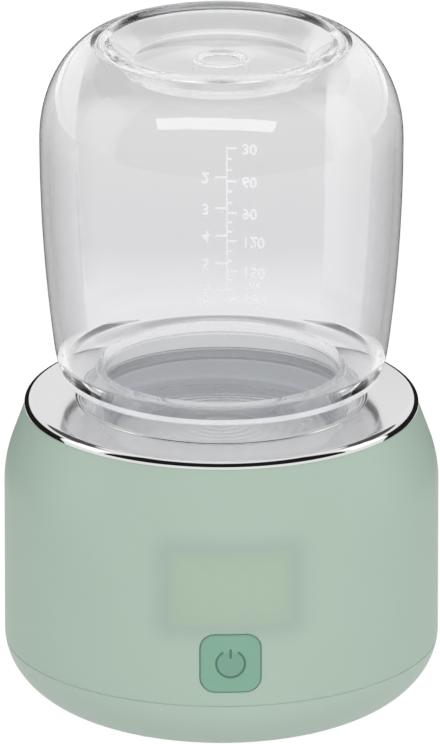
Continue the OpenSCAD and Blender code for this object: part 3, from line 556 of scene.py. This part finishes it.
bottle_skin = threaded(bottle_outline(), RIM_Z + 1.4, RIM_Z + 0.6, SHELF_Z - 0.5, NECK_R, THREAD_H, False)
bottle = make_piece("bottle_body", [bottle_skin], "bottle", "clear_bottle", ["bottle"], sharp=50)

# %% [markdown]
# ## Adapter ring, gasket and seal
# Between the bottle and the steel sits a milky screw ring with a soft seal, and a soft gasket
# under the bottle's rim. Their corners are rounded, because silicone is never sharp.

# %% Adapter, gasket and seal
FLANGE_Z, ADAPTER_IN, ADAPTER_R, ADAPTER_TOP, WELL_R, GASKET_IN = 55.3, 27.4, 28.8, 65.0, 29.05, 23.6
GROOVE_R, GROOVE_LOW, GROOVE_HIGH = 28.2, 58.3, 59.9
SEAL_LIPS = [[28.2, 58.32], [28.6, 58.32], [28.95, 58.8], [28.75, 59.1], [28.95, 59.4], [28.6, 59.88],
             [28.2, 59.88]]


def adapter_outline():
    """Closed outline of the ring with its seal groove; the bore is finely divided for the thread."""
    outside = rounded([[ADAPTER_IN, FLANGE_Z], [ADAPTER_R, FLANGE_Z], [ADAPTER_R, GROOVE_LOW],
                       [GROOVE_R, GROOVE_LOW], [GROOVE_R, GROOVE_HIGH], [ADAPTER_R, GROOVE_HIGH],
                       [ADAPTER_R, ADAPTER_TOP], [ADAPTER_IN, ADAPTER_TOP]],
                      [0.4, 0.5, 0.15, 0.15, 0.15, 0.15, 0.7, 0.5], 5)
    bore = np.linspace([ADAPTER_IN, ADAPTER_TOP - 0.6], [ADAPTER_IN, FLANGE_Z + 0.5], 64)
    return np.concatenate([outside, bore])


adapter_skin = threaded(adapter_outline(), RIM_Z + 3.2, FLANGE_Z + 0.4, ADAPTER_TOP - 0.5, ADAPTER_IN,
                        -THREAD_H, True)
gasket_box = [[GASKET_IN, FLANGE_Z], [NECK_R, FLANGE_Z], [NECK_R, RIM_Z], [GASKET_IN, RIM_Z]]
make_piece("screw_adapter", [adapter_skin], "adapter", "milky_adapter", ["adapter_ring"], sharp=45)
make_piece("rim_gasket", [turned(rounded(gasket_box, 0.45))], "gasket", "silicone", ["bottle_gasket"])
make_piece("lip_seal", [turned(rounded(SEAL_LIPS, 0.15))], "adapter", "silicone", ["adapter_seal"])

# %% [markdown]
# ## Chrome top plate and the heater plate
# The plate is a shallow dish: a rolled rim, a flat ring, a round bead and a sleeve down the well.
# The spun steel heater plate closes the well below.

# %% Top plate and heater plate
PLATE_R, PLATE_Z, DECK_Z, RIM_ROUND, PLATE_T, SLEEVE_R, SLEEVE_Z = 41.0, 66.8, 65.1, 1.4, 1.2, 29.95, 55.6
BEAD_W, BEAD_H, BEAD_FOOT = 0.6, 0.4, 0.22
plate_in, plate_under, bead_end = PLATE_R - PLATE_T, PLATE_Z - PLATE_T, WELL_R + 2 * BEAD_W
plate_outline = np.concatenate([
    [[PLATE_R, DECK_Z]], arc(PLATE_R - RIM_ROUND, PLATE_Z - RIM_ROUND, RIM_ROUND, 0, 90, 16),
    np.linspace([PLATE_R - RIM_ROUND, PLATE_Z], [bead_end + 0.4, PLATE_Z], 12)[1:],
    arc(bead_end + 0.2, PLATE_Z + BEAD_FOOT, BEAD_FOOT, 270, 215, 5),
    arc(WELL_R + BEAD_W, PLATE_Z, BEAD_W, 12, 180, 28, BEAD_H),
    fillets([[WELL_R, PLATE_Z], [WELL_R, SLEEVE_Z], [SLEEVE_R, SLEEVE_Z], [SLEEVE_R, plate_under],
             [plate_in, plate_under], [plate_in, DECK_Z]], [0.3, 0.3, 0.4, 0.4], 5),
    [[plate_in, DECK_Z]]])
make_piece("chrome_plate", [turned(plate_outline)], "warmer", "plated_ring", ["top_plate"], sharp=40)

CROWN_R, CROWN_Z, CROWN_ROUND, STEEL_T, FLANGE_R = 23.2, 60.5, 1.4, 0.8, 32.55
crown_in, flange_under = CROWN_R - STEEL_T, FLANGE_Z - STEEL_T
bend_r, bend_z = CROWN_R - CROWN_ROUND, CROWN_Z - CROWN_ROUND
heater_outline = np.concatenate([
    np.linspace([0.0, CROWN_Z], [bend_r, CROWN_Z], 14), arc(bend_r, bend_z, CROWN_ROUND, 90, 0, 14)[1:],
    fillets([[CROWN_R, CROWN_Z], [CROWN_R, FLANGE_Z], [FLANGE_R, FLANGE_Z], [FLANGE_R, flange_under],
             [crown_in, flange_under], [crown_in, CROWN_Z]], [0.5, 0.2, 0.2, 0.5], 5),
    arc(bend_r, bend_z, CROWN_ROUND - STEEL_T, 0, 90, 10), [[0.0, CROWN_Z - STEEL_T]]])
make_piece("steel_heater_plate", [turned(heater_outline, closed=False)], "warmer", "stainless",
           ["heater_plate"], sharp=40)

# %% [markdown]
# ## The shell, with its button hole and its socket
# The outside of the shell is a function of height: a straight side, a bend and a slope. A hole
# is cut by leaving cells out of the grid and filling the window with rings that run from the
# window's border to the hole's outline, then round its edge and through the wall.

# %% Holes in a surface
ROLL = np.radians([20, 40, 60, 75, 90])


def round_box(p, half, corner):
    """Signed distance from a box with rounded corners, centred on 0."""
    q = np.abs(p) - (np.asarray(half) - corner)
    return np.linalg.norm(np.maximum(q, 0), axis=-1) + np.minimum(q.max(-1), 0) - corner


def outline_along(rays, half, corner):
    """Where rays from the centre meet a rounded box, by halving the interval forty times."""
    low, high = np.zeros(len(rays)), np.ones(len(rays))
    for _ in range(40):
        middle = (low + high) / 2
        outside = round_box(rays * middle[:, None], half, corner) > 0
        low, high = np.where(outside, low, middle), np.where(outside, middle, high)
    return rays * high[:, None]


def window_of(rows, columns, row, angle, radius, reach):
    """Window (r0, r1, c0, c1) of a grid that clears reach, along and across, round a place."""
    turn = np.abs(np.angle(np.exp(1j * (columns - angle)))) * radius
    high, near = np.flatnonzero(np.abs(rows - row) < reach[1]), np.flatnonzero(turn < reach[0])
    return high[0], high[-1], near[0], near[-1]


def border(r0, r1, c0, c1):
    """Row and column numbers round a window of a grid, once round."""
    i, j = np.arange(r0, r1), np.arange(c0, c1)
    return (np.concatenate([0 * j + r0, i, 0 * j + r1, r0 + r1 - i]),
            np.concatenate([j, 0 * i + c1, c0 + c1 - j, 0 * i + c0]))


def without(net, windows):
    """Sheet of a grid, looped in its columns, that leaves out the windows (r0, r1, c0, c1)."""
    points, faces = sheet(net)
    i, j = np.divmod(np.arange(len(faces)), net.shape[1])
    keep = np.ones(len(faces), bool)
    for r0, r1, c0, c1 in windows:
        keep &= ~((i >= r0) & (i < r1) & (j >= c0) & (j < c1))
    return points, faces[keep]


print("hole helpers ready")

# %% Grids of the shell
SHELL_R, SHELL_WALL, CORNER_W, CORNER_H, CORNER_Z, SEAM_Z, SEAM_CUT = 45.2, 2.4, 19.0, 15.0, 16.0, 14.5, 0.18
TOP_R, BEND_R, BEND_X, BEND_Z, SLOPE = 40.8, 26.0, 19.2, 48.427, 20.0
TILT = math.radians(SLOPE)
BEND_RISE, IN_R = BEND_R * math.sin(TILT), SHELL_R - SHELL_WALL
FINE_FRONT, FINE_REAR = 14.6, 8.0


def shell_radius(z):
    """Outer radius at a height: the base's rounding, straight, a bend of 26 mm, then a cone."""
    low = SHELL_R - CORNER_W * (1 - np.sqrt(1 - (np.clip(CORNER_Z - z, 0, CORNER_H) / CORNER_H) ** 2))
    bend = BEND_X + np.sqrt(BEND_R ** 2 - np.clip(z - BEND_Z, 0, BEND_RISE) ** 2)
    past = np.clip(z - BEND_Z - BEND_RISE, 0, None)
    r = np.where(z < CORNER_Z, low, bend - past * math.tan(TILT))
    return r - np.clip(SEAM_Z + SEAM_CUT - z, 0, SEAM_CUT)


front = np.radians(-90.0) + np.linspace(-FINE_FRONT, FINE_FRONT, 118) / SHELL_R
rear = np.radians(90.0) + np.linspace(-FINE_REAR, FINE_REAR, 34) / SHELL_R
COLUMNS = np.concatenate([
    np.linspace(-math.pi, front[0], 58)[:-1], front, np.linspace(front[-1], rear[0], 112)[1:-1], rear,
    np.linspace(rear[-1], math.pi, 58)[1:-1]])
ROWS = np.concatenate([
    [SEAM_Z, SEAM_Z + SEAM_CUT * 0.5], np.linspace(SEAM_Z + SEAM_CUT, 16.2, 4), np.linspace(16.6, 31.4, 26),
    np.linspace(31.7, 49.0, 72), np.linspace(49.6, DECK_Z, 26)])
IN_ROWS = np.linspace(SEAM_Z, BEND_Z, 60)
grid = around(shell_radius(ROWS)[:, None], COLUMNS, ROWS[:, None])
inner = around(IN_R, COLUMNS, IN_ROWS[:, None])
print("shell grids", grid.shape[:2], inner.shape[:2])

# %% Holes of the shell
BUTTON_Z, HOLE_HALF, HOLE_ROUND = 24.0, (6.36, 6.36), 3.16
PORT_Z, PORT_HALF, PORT_ROUND = 45.8, (4.75, 1.9), 1.9


def hole(angle, centre_z, half, corner, room=1.2, edge_r=0.3):
    """Rings from both windows to the hole and through the wall; (x, z) goes to y = +-sqrt(r^2 - x^2)."""
    side = math.copysign(1.0, math.sin(angle))
    half = np.array(half)

    def lift(plan, radius):
        x, z = plan[..., 0], plan[..., 1]
        return np.stack([x, side * np.sqrt(radius ** 2 - x ** 2), z + centre_z], -1)

    def plan_of(net, window):
        return net[border(*window)][:, [0, 2]] - (0.0, centre_z)

    out_win = window_of(ROWS, COLUMNS, centre_z, angle, SHELL_R, half + room)
    in_win = window_of(IN_ROWS, COLUMNS, centre_z, angle, SHELL_R, half + room + (0.2, 0.6))
    plan, plan_in = plan_of(grid, out_win), plan_of(inner, in_win)
    t = np.linspace(1, 0, 5)[:, None, None]
    rings = [(w, 0.0) for w in t * plan + (1 - t) * outline_along(plan, half + edge_r, corner + edge_r)]
    for a in ROLL:
        grow = edge_r * (1 - math.sin(a))
        rings.append((outline_along(plan, half + grow, corner + grow), edge_r * (1 - math.cos(a))))
    wall = [lift(w, shell_radius(w[:, 1] + centre_z) - sink) for w, sink in rings]
    wall.append(lift(outline_along(plan, half, corner), IN_R))
    back = lift(t * plan_in + (1 - t) * outline_along(plan_in, half, corner), IN_R)
    return out_win, in_win, sheet(np.stack(wall)), sheet(back)


shell_holes = [hole(-math.pi / 2, BUTTON_Z, HOLE_HALF, HOLE_ROUND),
               hole(math.pi / 2, PORT_Z, PORT_HALF, PORT_ROUND)]
print(len(shell_holes), "holes in the shell")

# %% Marks of the display, and the shell
WINDOW_Z, WINDOW_HALF, WINDOW_ROUND, WINDOW_FADE, SHADE_W = 40.2, (12.7, 7.95), 0.8, 0.8, 3.4
DIGIT_STEP, DIGITS_HALF, BAR_ROUND, BAR_FADE = 8.2, 12.3, 0.4, 0.3
LONG, THIN = 1.9, 0.55
BARS = [(0.0, z, LONG, THIN) for z in (5.0, 0.0, -5.0)]
BARS += [(x, z, THIN, LONG) for x in (-2.55, 2.55) for z in (2.5, -2.5)]


def seven_segments(x, z):
    """1 on the bars of three eights, else 0, softened at the edges."""
    p = np.stack([(x + DIGITS_HALF) % DIGIT_STEP - DIGIT_STEP / 2, z], -1)
    d = np.min([round_box(p - np.array(b[:2]), b[2:], BAR_ROUND) for b in BARS], 0)
    return np.clip(0.5 - d / BAR_FADE, 0, 1) * (np.abs(x) < DIGITS_HALF)


def window_distance(x, z):
    """Signed distance from the display's window."""
    return round_box(np.stack([x, z - WINDOW_Z], -1), WINDOW_HALF, WINDOW_ROUND)


def window_mark(x, y, z):
    """1 inside the display's window on the front, fading at its edge."""
    return np.clip(0.5 - window_distance(x, z) / WINDOW_FADE, 0, 1) * (y < 0)


SHELL_MARKS = {
    "window": window_mark,
    "ghost": lambda x, y, z: window_mark(x, y, z) * seven_segments(x, z - WINDOW_Z),
    # Painted shade round the window, on top of the display's frame seen through the wall
    "frame_and_painted_shade": lambda x, y, z: (y < 0) * np.exp(-(window_distance(x, z) / SHADE_W) ** 2),
}
WELL_WALL_IN, WELL_WALL_OUT, WELL_END = 30.15, 32.55, 56.3
deck_in = [TOP_R + SHELL_WALL * math.tan(TILT) - SHELL_WALL / math.cos(TILT), DECK_Z - SHELL_WALL]
over_the_top = np.concatenate([
    [[TOP_R, DECK_Z]],
    fillets([[TOP_R, DECK_Z], [WELL_WALL_IN, DECK_Z], [WELL_WALL_IN, WELL_END], [WELL_WALL_OUT, WELL_END],
             [WELL_WALL_OUT, deck_in[1]], deck_in], [0.3, 0.3, 0.3, 0.6], 4),
    [deck_in], arc(BEND_X, BEND_Z, BEND_R - SHELL_WALL, SLOPE, 0, 12)])
seam_face = [[IN_R, SEAM_Z], [shell_radius(SEAM_Z), SEAM_Z]]
shell_sheets = [without(grid, [h[0] for h in shell_holes]), without(inner, [h[1] for h in shell_holes])]
shell_sheets += [part for h in shell_holes for part in h[2:]]
shell_sheets += [turned(outline, COLUMNS, False) for outline in (over_the_top, seam_face)]
make_piece("green_shell", shell_sheets, "warmer", "mint_shell", ["outer_shell"], sharp=35, marks=SHELL_MARKS)

# %% [markdown]
# ## The button
# A rounded square key that follows the shell's curve and stands a little proud. The standard
# power sign is engraved, so it is real depth in the mesh, and a mark darkens it for the shader as
# painted shade in the groove; another mark paints shade in the shallow dished middle.

# %% Power button
BUTTON_HALF, BUTTON_ROUND, BUTTON_FACE_R, BUTTON_ROLL = 6.3, 3.1, 45.4, 0.55
EDGE_Y, EDGE_BACK, EDGE_HALF = -41.923, -40.923, 7.3
SIGN_R, SIGN_W, SIGN_DEPTH, SIGN_GAP, SIGN_BAR_Z, SIGN_BAR_HALF = 2.95, 0.38, 0.25, 0.6, 2.2, 0.8
DISH_DEPTH, DISH_SHADE, DISH_FADE, FACE_Y = 0.1, 0.8, 0.6, -44.0


def sign_distance(x, z):
    """Distance from the power sign: a ring with a gap at the top, and a bar in the gap."""
    gap = np.abs(np.arctan2(x, z)) < SIGN_GAP
    ring = np.where(gap, 9.0, np.abs(np.hypot(x, z) - SIGN_R))
    ends = np.hypot(np.abs(x) - SIGN_R * math.sin(SIGN_GAP), z - SIGN_R * math.cos(SIGN_GAP))
    bar = np.hypot(x, np.maximum(np.abs(z - SIGN_BAR_Z) - SIGN_BAR_HALF, 0))
    return np.minimum(np.minimum(ring, ends), bar)


def in_line(x, z, soft):
    """1 in the engraved line, 0 beside it, over an edge twice as wide as soft."""
    return np.clip((SIGN_W / 2 + soft - sign_distance(x, z)) / (2 * soft), 0, 1)


def button_sheet():
    """Rings of a rounded square: the face from the middle out, a rolled edge, the side and a collar."""
    a = np.radians(np.arange(0.0, 360.0, 0.75))
    rays = np.stack([np.cos(a), np.sin(a)], -1) * 12.0

    def square(half, corner):
        return outline_along(rays, (half, half), corner)

    edge, collar = square(BUTTON_HALF, BUTTON_ROUND), square(EDGE_HALF, BUTTON_ROUND)
    shares = np.concatenate([np.linspace(0, 0.93, 96), [0.955]])
    rolled = [square(BUTTON_HALF - s, BUTTON_ROUND - s) for s in BUTTON_ROLL * (1 - np.sin(ROLL))]
    plan = np.concatenate([edge * shares[:, None, None], rolled])
    x, z = plan[..., 0], plan[..., 1]
    sink = np.concatenate([0 * shares, BUTTON_ROLL * (1 - np.cos(ROLL))])[:, None]
    sink = sink + SIGN_DEPTH * in_line(x, z, 0.06)
    sink = sink + DISH_DEPTH * np.clip(1 - (np.hypot(x, z) / SIGN_R) ** 2, 0, 1)
    face = np.stack([x, -np.sqrt((BUTTON_FACE_R - sink) ** 2 - x ** 2), z + BUTTON_Z], -1)
    flat = [(edge, EDGE_Y), (collar, EDGE_Y), (collar, EDGE_BACK), (collar * 0.0, EDGE_BACK)]
    back = [np.stack([p[:, 0], np.full(len(p), y), p[:, 1] + BUTTON_Z], -1) for p, y in flat]
    return sheet(np.concatenate([face, back]))


# Where shade is painted on the key: in the engraved sign and in the dished middle
BUTTON_MARKS = {
    "groove": lambda x, y, z: in_line(x, z - BUTTON_Z, 0.08) * (y < FACE_Y),
    "dish": lambda x, y, z: np.clip((SIGN_R - np.hypot(x, z - BUTTON_Z)) / DISH_FADE, 0, 1) * DISH_SHADE,
}
make_piece("power_key", [button_sheet()], "button", "mint_button", ["power_button"], sharp=40,
           marks=BUTTON_MARKS)

# %% [markdown]
# ## The base cap, its feet and its screws
# The base is a shallow dish with a generous rounding. Below, four rubber feet sit in recesses
# and four screws lie sunk in round holes, which are cut the same way as the shell's holes.

# %% Base cap
BASE_Z, BASE_T, FLAT_R = 1.0, 2.4, SHELL_R - CORNER_W
FEET = [(x, y) for x in (-14.001, 14.001) for y in (-14.001, 14.001)]
SCREWS = [(x, y) for x in (-16.5, 16.5) for y in (-28.579, 28.579)]
FOOT_R, FOOT_SINK, SCREW_HOLE_R, SCREW_SEAT = 4.0, 0.8, 2.2, 4.0
SPIGOT_R, SPIGOT_IN, SPIGOT_Z = 42.5, 40.5, 18.0
SEAM_R = SHELL_R - CORNER_W * (1 - math.sqrt(1 - ((CORNER_Z - SEAM_Z) / CORNER_H) ** 2))
END_R = FLAT_R + CORNER_W * math.sqrt(1 - ((CORNER_Z - SEAM_Z + SEAM_CUT) / CORNER_H) ** 2)


def base_height(r):
    """Height of the underside at a radius: flat, then a quarter of an ellipse, 19 mm by 15 mm."""
    out = np.clip(r - FLAT_R, 0, CORNER_W) / CORNER_W
    return CORNER_Z - CORNER_H * np.sqrt(np.maximum(1 - out ** 2, 0))


BASE_R = np.concatenate([np.linspace(0, 12, 7), np.linspace(13, 38, 64), np.linspace(38.5, 43.5, 16),
                         np.linspace(43.7, END_R, 8)])
BASE_A = np.radians(np.arange(-180.0, 180.0, 1.25))
base_grid = around(BASE_R[:, None], BASE_A, base_height(BASE_R)[:, None])


def sunk_hole(x, y, radius, seat_z, room=1.3, edge_r=0.25):
    """Rings from a window of the underside to a round hole, up its wall to a seat and to its middle."""
    r, a = math.hypot(x, y), math.atan2(y, x)
    window = window_of(BASE_R, BASE_A, r, a, r, (radius + room, radius + room))
    plan = base_grid[border(*window)][:, :2] - (x, y)
    unit = plan / np.linalg.norm(plan, axis=1)[:, None]
    t = np.linspace(1, 0, 4)[:, None, None]
    flat = t * plan + (1 - t) * unit * (radius + edge_r)
    bend = np.radians([30, 60, 90])
    lip = unit * (radius + edge_r * (1 - np.sin(bend)))[:, None, None]
    both = np.concatenate([flat, lip, [unit * radius, unit * 0.0]]) + (x, y)
    z = base_height(np.linalg.norm(both, axis=-1))
    z[len(flat):-2] += (edge_r * (1 - np.cos(bend)))[:, None]
    z[-2:] = seat_z
    return window, sheet(np.concatenate([both, z[..., None]], -1))


base_holes = [sunk_hole(x, y, FOOT_R, BASE_Z + FOOT_SINK) for x, y in FEET]
base_holes += [sunk_hole(x, y, SCREW_HOLE_R, SCREW_SEAT) for x, y in SCREWS]
inner_end = -math.degrees(math.acos((SPIGOT_IN - FLAT_R) / (CORNER_W - BASE_T)))
upper = np.concatenate([
    rounded([[END_R, SEAM_Z - SEAM_CUT], [SEAM_R - SEAM_CUT, SEAM_Z], [SPIGOT_R, SEAM_Z],
             [SPIGOT_R, SPIGOT_Z], [SPIGOT_IN, SPIGOT_Z]], [0.0, 0.05, 0.2, 0.2, 0.2], 4),
    arc(FLAT_R, CORNER_Z, CORNER_W - BASE_T, inner_end, -90, 20, CORNER_H - BASE_T),
    [[0.0, BASE_Z + BASE_T]]])
base_sheets = [without(base_grid, [h[0] for h in base_holes]), turned(upper, BASE_A, False)]
base_sheets += [h[1] for h in base_holes]
make_piece("base_dish", base_sheets, "warmer", "mint_base", ["base_cap"], sharp=35)

# %% Rubber feet
FOOT_GAP = 0.02
foot_r, foot_top = FOOT_R - FOOT_GAP, BASE_Z + FOOT_SINK - FOOT_GAP
foot_corners = [[0.0, 0.0], [foot_r, 0.0], [foot_r, foot_top], [0.0, foot_top]]
foot_outline = np.concatenate([foot_corners[:1], fillets(foot_corners, [0.5, 0.1], 5), foot_corners[-1:]])
foot_points, foot_faces = turned(foot_outline, np.radians(np.arange(-180.0, 180.0, 6.0)), False)
make_piece("round_feet", [(foot_points + (x, y, 0.0), foot_faces) for x, y in FEET], "warmer", "grey_rubber",
           ["rubber_feet"])

# %% [markdown]
# ## The scale on the bottle
# The scale is printed on the outside of the wall that faces away, and it reads the right way up
# when the bottle stands on its closed end. Ticks and numbers are flat shapes laid on the wall: a
# point (along, up) goes to the angle along / r and to the height up.

# %% Scale
def scale_print():
    """White ink with a slightly uneven cover; it glows a little, as painted light for the ink seen lit
    through the clear wall.
    """
    f = Finish("scale_print")
    cover = f.noise(0.5)
    white = f.mix(cover, linear(240, 241, 241), linear(252, 252, 252))
    # The glow is painted light: it brightens the ink seen from behind through the clear wall
    return f.done(Base_Color=white, Roughness=0.5 + cover * 0.1, Emission_Color=white, Emission_Strength=0.8)


def bottle_radius(z):
    """Outer radius of the bottle's side at a height."""
    side = SIDE_X + np.sqrt(SIDE_R ** 2 - np.clip(z - SIDE_Z, -60, 0) ** 2)
    low = LOW_X + np.sqrt(np.maximum(LOW_R ** 2 - (z - LOW_Z) ** 2, 0))
    return np.where(z < LOW_Z - LOW_R * math.sin(math.radians(SIDE_A)), low, side)


FINISHES["scale_print"] = scale_print()
LINE_X, LINE_HALF, TICK_HALF, INK, LIFT = 2.7, 0.14, 0.2, 0.16, 0.03
LONG_TICK, SHORT_TICK, OZ_TICK = 2.1, 1.1, 2.5
ML_Z = np.interp(np.arange(30, 181, 10), np.arange(30, 181, 30), [108.3, 101.0, 94.4, 88.4, 81.9, 76.1])
OZ_Z = np.array([101.9, 95.4, 89.5, 83.6, 77.9])


def on_wall(along, up, out):
    """Point of the bottle's rear wall: angle 90 degrees less along / r, at r + out."""
    r = bottle_radius(up)
    return around(r + out, math.pi / 2 - along / r, up)


def bar(x0, x1, z0, z1, steps=1):
    """Closed box of ink from x0 to x1 and z0 to z1 on the wall, cut into steps along z."""
    z = np.concatenate([[z0], np.linspace(z0, z1, steps + 1), [z1]])[:, None]
    x = np.repeat([[x0, x1, x1, x0]], len(z), 0)
    out = np.repeat([[LIFT, LIFT, LIFT + INK, LIFT + INK]], len(z), 0)
    x[[0, -1]], out[[0, -1]] = (x0 + x1) / 2, LIFT + INK / 2
    return sheet(on_wall(x, np.repeat(z, 4, 1), out))


def tick(x0, x1, z):
    """Bar across the scale at a height, between two distances from its line."""
    return bar(LINE_X + x0, LINE_X + x1, z - TICK_HALF, z + TICK_HALF)


bars = [bar(LINE_X - LINE_HALF, LINE_X + LINE_HALF, ML_Z[-1] - TICK_HALF, ML_Z[0] + TICK_HALF, 30)]
bars += [tick(LINE_HALF, LONG_TICK if k % 3 == 0 else SHORT_TICK, z) for k, z in enumerate(ML_Z)]
bars += [tick(-OZ_TICK, -LINE_HALF, z) for z in OZ_Z]
make_piece("scale_lines", bars, "bottle", "clear_bottle", finish="scale_print")

# %% Numbers of the scale
CAPITAL, BOLDER = 0.7, 0.06
WORDS = [(str(30 * k), 3.2, ML_Z[3 * k - 3], 2.3) for k in range(1, 7)]
WORDS += [(str(k), -5.4, OZ_Z[k - 2], 2.3) for k in range(2, 7)]
WORDS += [("ml", 4.6, 79.0, 1.8), ("oz", -5.9, 75.0, 1.8)]


def number(words, x, z, height):
    """Text laid on the rear wall, upside down with the bottle, its left end at x and its middle at z."""
    curve = bpy.data.curves.new("number", "FONT")
    curve.body, curve.size, curve.extrude, curve.align_y = words, height / CAPITAL, INK / 2, "CENTER"
    curve.resolution_u, curve.offset = 3, BOLDER
    holder = linked("number", curve)
    bpy.context.view_layer.update()
    flat = bpy.data.meshes.new_from_object(holder)
    bpy.data.objects.remove(holder)
    along, up, out = points_of(flat).T
    flat.vertices.foreach_set("co", (on_wall(x + along, z - up, LIFT + INK / 2 + out) * MM).ravel())
    return flat


joined = bmesh.new()
for words, x, z, height in WORDS:
    joined.from_mesh(number(words, LINE_X + x, z, height))
weld(joined)
scale_numbers = mesh_object("scale_numbers", [], [], FINISHES["scale_print"])
joined.to_mesh(scale_numbers.data)
joined.free()
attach(scale_numbers, "bottle")
print("scale_numbers:", len(scale_numbers.data.polygons), "faces")

# %% [markdown]
# ## Pieces that stay as CAD
# The inner pieces have the right shape already, so they keep their CAD meshes and only get the
# finish of their slot.

# %% Paint the CAD nodes
slots = {part["node"]: part["material_slot"] for part in frame["record"]["subparts"]}
for name, node in frame["nodes"].items():
    node.data.materials.clear()
    node.data.materials.append(FINISHES[slots[name]])
print("painted", len(frame["nodes"]), "CAD nodes")

# %% [markdown]
# ## Floor, cards and light
# Clear plastic and chrome show their surroundings, so these are built like a small studio: a pale
# floor in a white room, a large soft lamp above the front, a weak one on the right, a low one in
# front and one that lights only the bottle. Curved cards, which the camera can't see, give the
# chrome its dark band and draw the edges and the tall highlights of the clear wall.

# %% Floor and room
WHITE, ROOM, FLOOR_Z = (1, 1, 1, 1), 0.72, -0.00005
FLOOR_LEVEL, FLOOR_FADE, FLOOR_STEPS = 1.06, 0.035, ((0.25, 0.17), (0.385, 0.2))


def looking(f):
    """1 for rays from the camera, off gloss and through clear plastic, 0 for light that scatters."""
    straight, gloss, through = (f.ray(f"Is {kind} Ray") for kind in ("Camera", "Glossy", "Transmission"))
    return straight.math("MAXIMUM", gloss).math("MAXIMUM", through)


def floor_finish():
    """Pale floor that keeps the shadow, mixed with plain white for rays that look straight at it.
    Through clear plastic it is darker in two steps behind the object. From below it is open."""
    f = Finish("pale_floor")
    behind = f.axis(1)
    near, far = (behind.rise(start, start + FLOOR_FADE) * depth for start, depth in FLOOR_STEPS)
    pale = f.node("ShaderNodeBsdfDiffuse", {}, {
        "Color": f.mix(f.noise(3.0), (0.86, 0.86, 0.86, 1), (0.9, 0.9, 0.9, 1))})
    white = f.node("ShaderNodeEmission", {}, [
        WHITE, FLOOR_LEVEL - f.ray("Is Transmission Ray") * (near + far)])
    both = f.node("ShaderNodeMixShader", {}, [looking(f) * 0.82 + 0.1, pale, white])
    below, gap = f.node("ShaderNodeNewGeometry", output="Backfacing"), f.node("ShaderNodeBsdfTransparent")
    return f.surface(f.node("ShaderNodeMixShader", {}, [below, both, gap]))


floor_corners = [(x, y, FLOOR_Z) for x, y in ((-6, -6), (6, -6), (6, 6), (-6, 6))]
plane = mesh_object("floor", floor_corners, [(0, 1, 2, 3)], floor_finish())
sky = Finish("studio", bpy.data.worlds)
back = sky.node("ShaderNodeBackground", {}, [WHITE, ROOM + looking(sky) * (1.0 - ROOM)])
sky.node("ShaderNodeOutputWorld", {}, [back])
scene.world = sky.material
print("floor and room ready")

# %% Lamps and cards
def lamp(name, place, target, wide, high, watts, mirrored=False):
    """Soft lamp at a place in metres, aimed at a target; only a mirrored one shows in gloss."""
    light = linked(name, bpy.data.lights.new(name, "AREA"))
    light.data.shape, light.data.size, light.data.size_y, light.data.energy = "RECTANGLE", wide, high, watts
    light.visible_glossy, light.visible_transmission = mirrored, False
    aim_at(light, place, target)
    return light


lamp("key", (-0.1, -1.0, 1.1), (0, 0, 0.06), wide=1.2, high=0.42, watts=3.6)
lamp("fill", (0.9, -0.6, 0.5), (0, 0, 0.06), wide=0.7, high=0.7, watts=0.7)
lamp("low_fill", (0, -0.8, 0.14), (0, 0, 0.0), wide=0.9, high=0.25, watts=0.9)
highlight = lamp("highlight", (-0.12, -1.0, 1.14), (0, 0, 0.1), wide=2.0, high=0.34, watts=14.0,
                 mirrored=True)
clear_only = bpy.data.collections.new("clear_only")
clear_only.objects.link(bottle)
highlight.light_linking.receiver_collection = clear_only


def card_finish():
    """One level for mirrors, another through clear plastic; after a matt face as pale as the room."""
    f = Finish("studio_card")
    level, gloss, through = f.mark("level"), f.mark("gloss"), f.ray("Is Transmission Ray")
    matt = f.ray("Diffuse Depth").math("MINIMUM", 1.0)
    shown = gloss + through * (level - gloss)
    return f.surface(f.node("ShaderNodeEmission", {}, [WHITE, shown + matt * (ROOM - shown)]))


CARD, CARD_STEPS, CARD_ROWS = card_finish(), 25, 9


def card(name, from_deg, to_deg, radius, low, high, gloss=0.015, dip=0.0, peak=0.5):
    """Upright curved card between two bearings from the front, which the camera can't see. Through
    clear plastic its level is 1 less a dip, full at the peak's share of the way along and fading
    to nothing at both ends and over the upper half."""
    along, up = np.meshgrid(np.linspace(0, 1, CARD_STEPS), np.linspace(0, 1, CARD_ROWS))
    a = np.radians(from_deg + (to_deg - from_deg) * along)
    net = np.stack([radius * np.sin(a), -radius * np.cos(a), low + (high - low) * up], -1)
    level = 1 - dip * np.interp(along, [0, peak, 1], [0, 1, 0]) * np.interp(up, [0.4, 1], [1, 0])
    plane = mesh_object(name, *sheet(net, loop_columns=False), CARD)
    set_mark(plane.data, "level", level.ravel())
    set_mark(plane.data, "gloss", np.full(level.size, gloss))
    plane.visible_camera = plane.visible_diffuse = plane.visible_shadow = False


card("front_card", -72, 72, 1.7, 0.02, 2.9)
card("rear_card", 130, 230, 0.6, 0.0, 0.1, dip=0.1)
card("upper_rear", 100, 260, 1.5, 1.0, 2.0, gloss=0.1)
for side, sign in (("left", -1), ("right", 1)):
    card(f"{side}_card", sign * 98, sign * 170, 0.2, 0.0, 0.12, dip=0.68, peak=0.22)
    card(f"{side}_box", sign * 76, sign * 104, 1.2, 0.1, 1.0, gloss=1.6)
scene.view_settings.view_transform = "Standard"
paths = scene.cycles
paths.max_bounces, paths.glossy_bounces, paths.transmission_bounces = 28, 14, 24
print("lamps and cards ready")
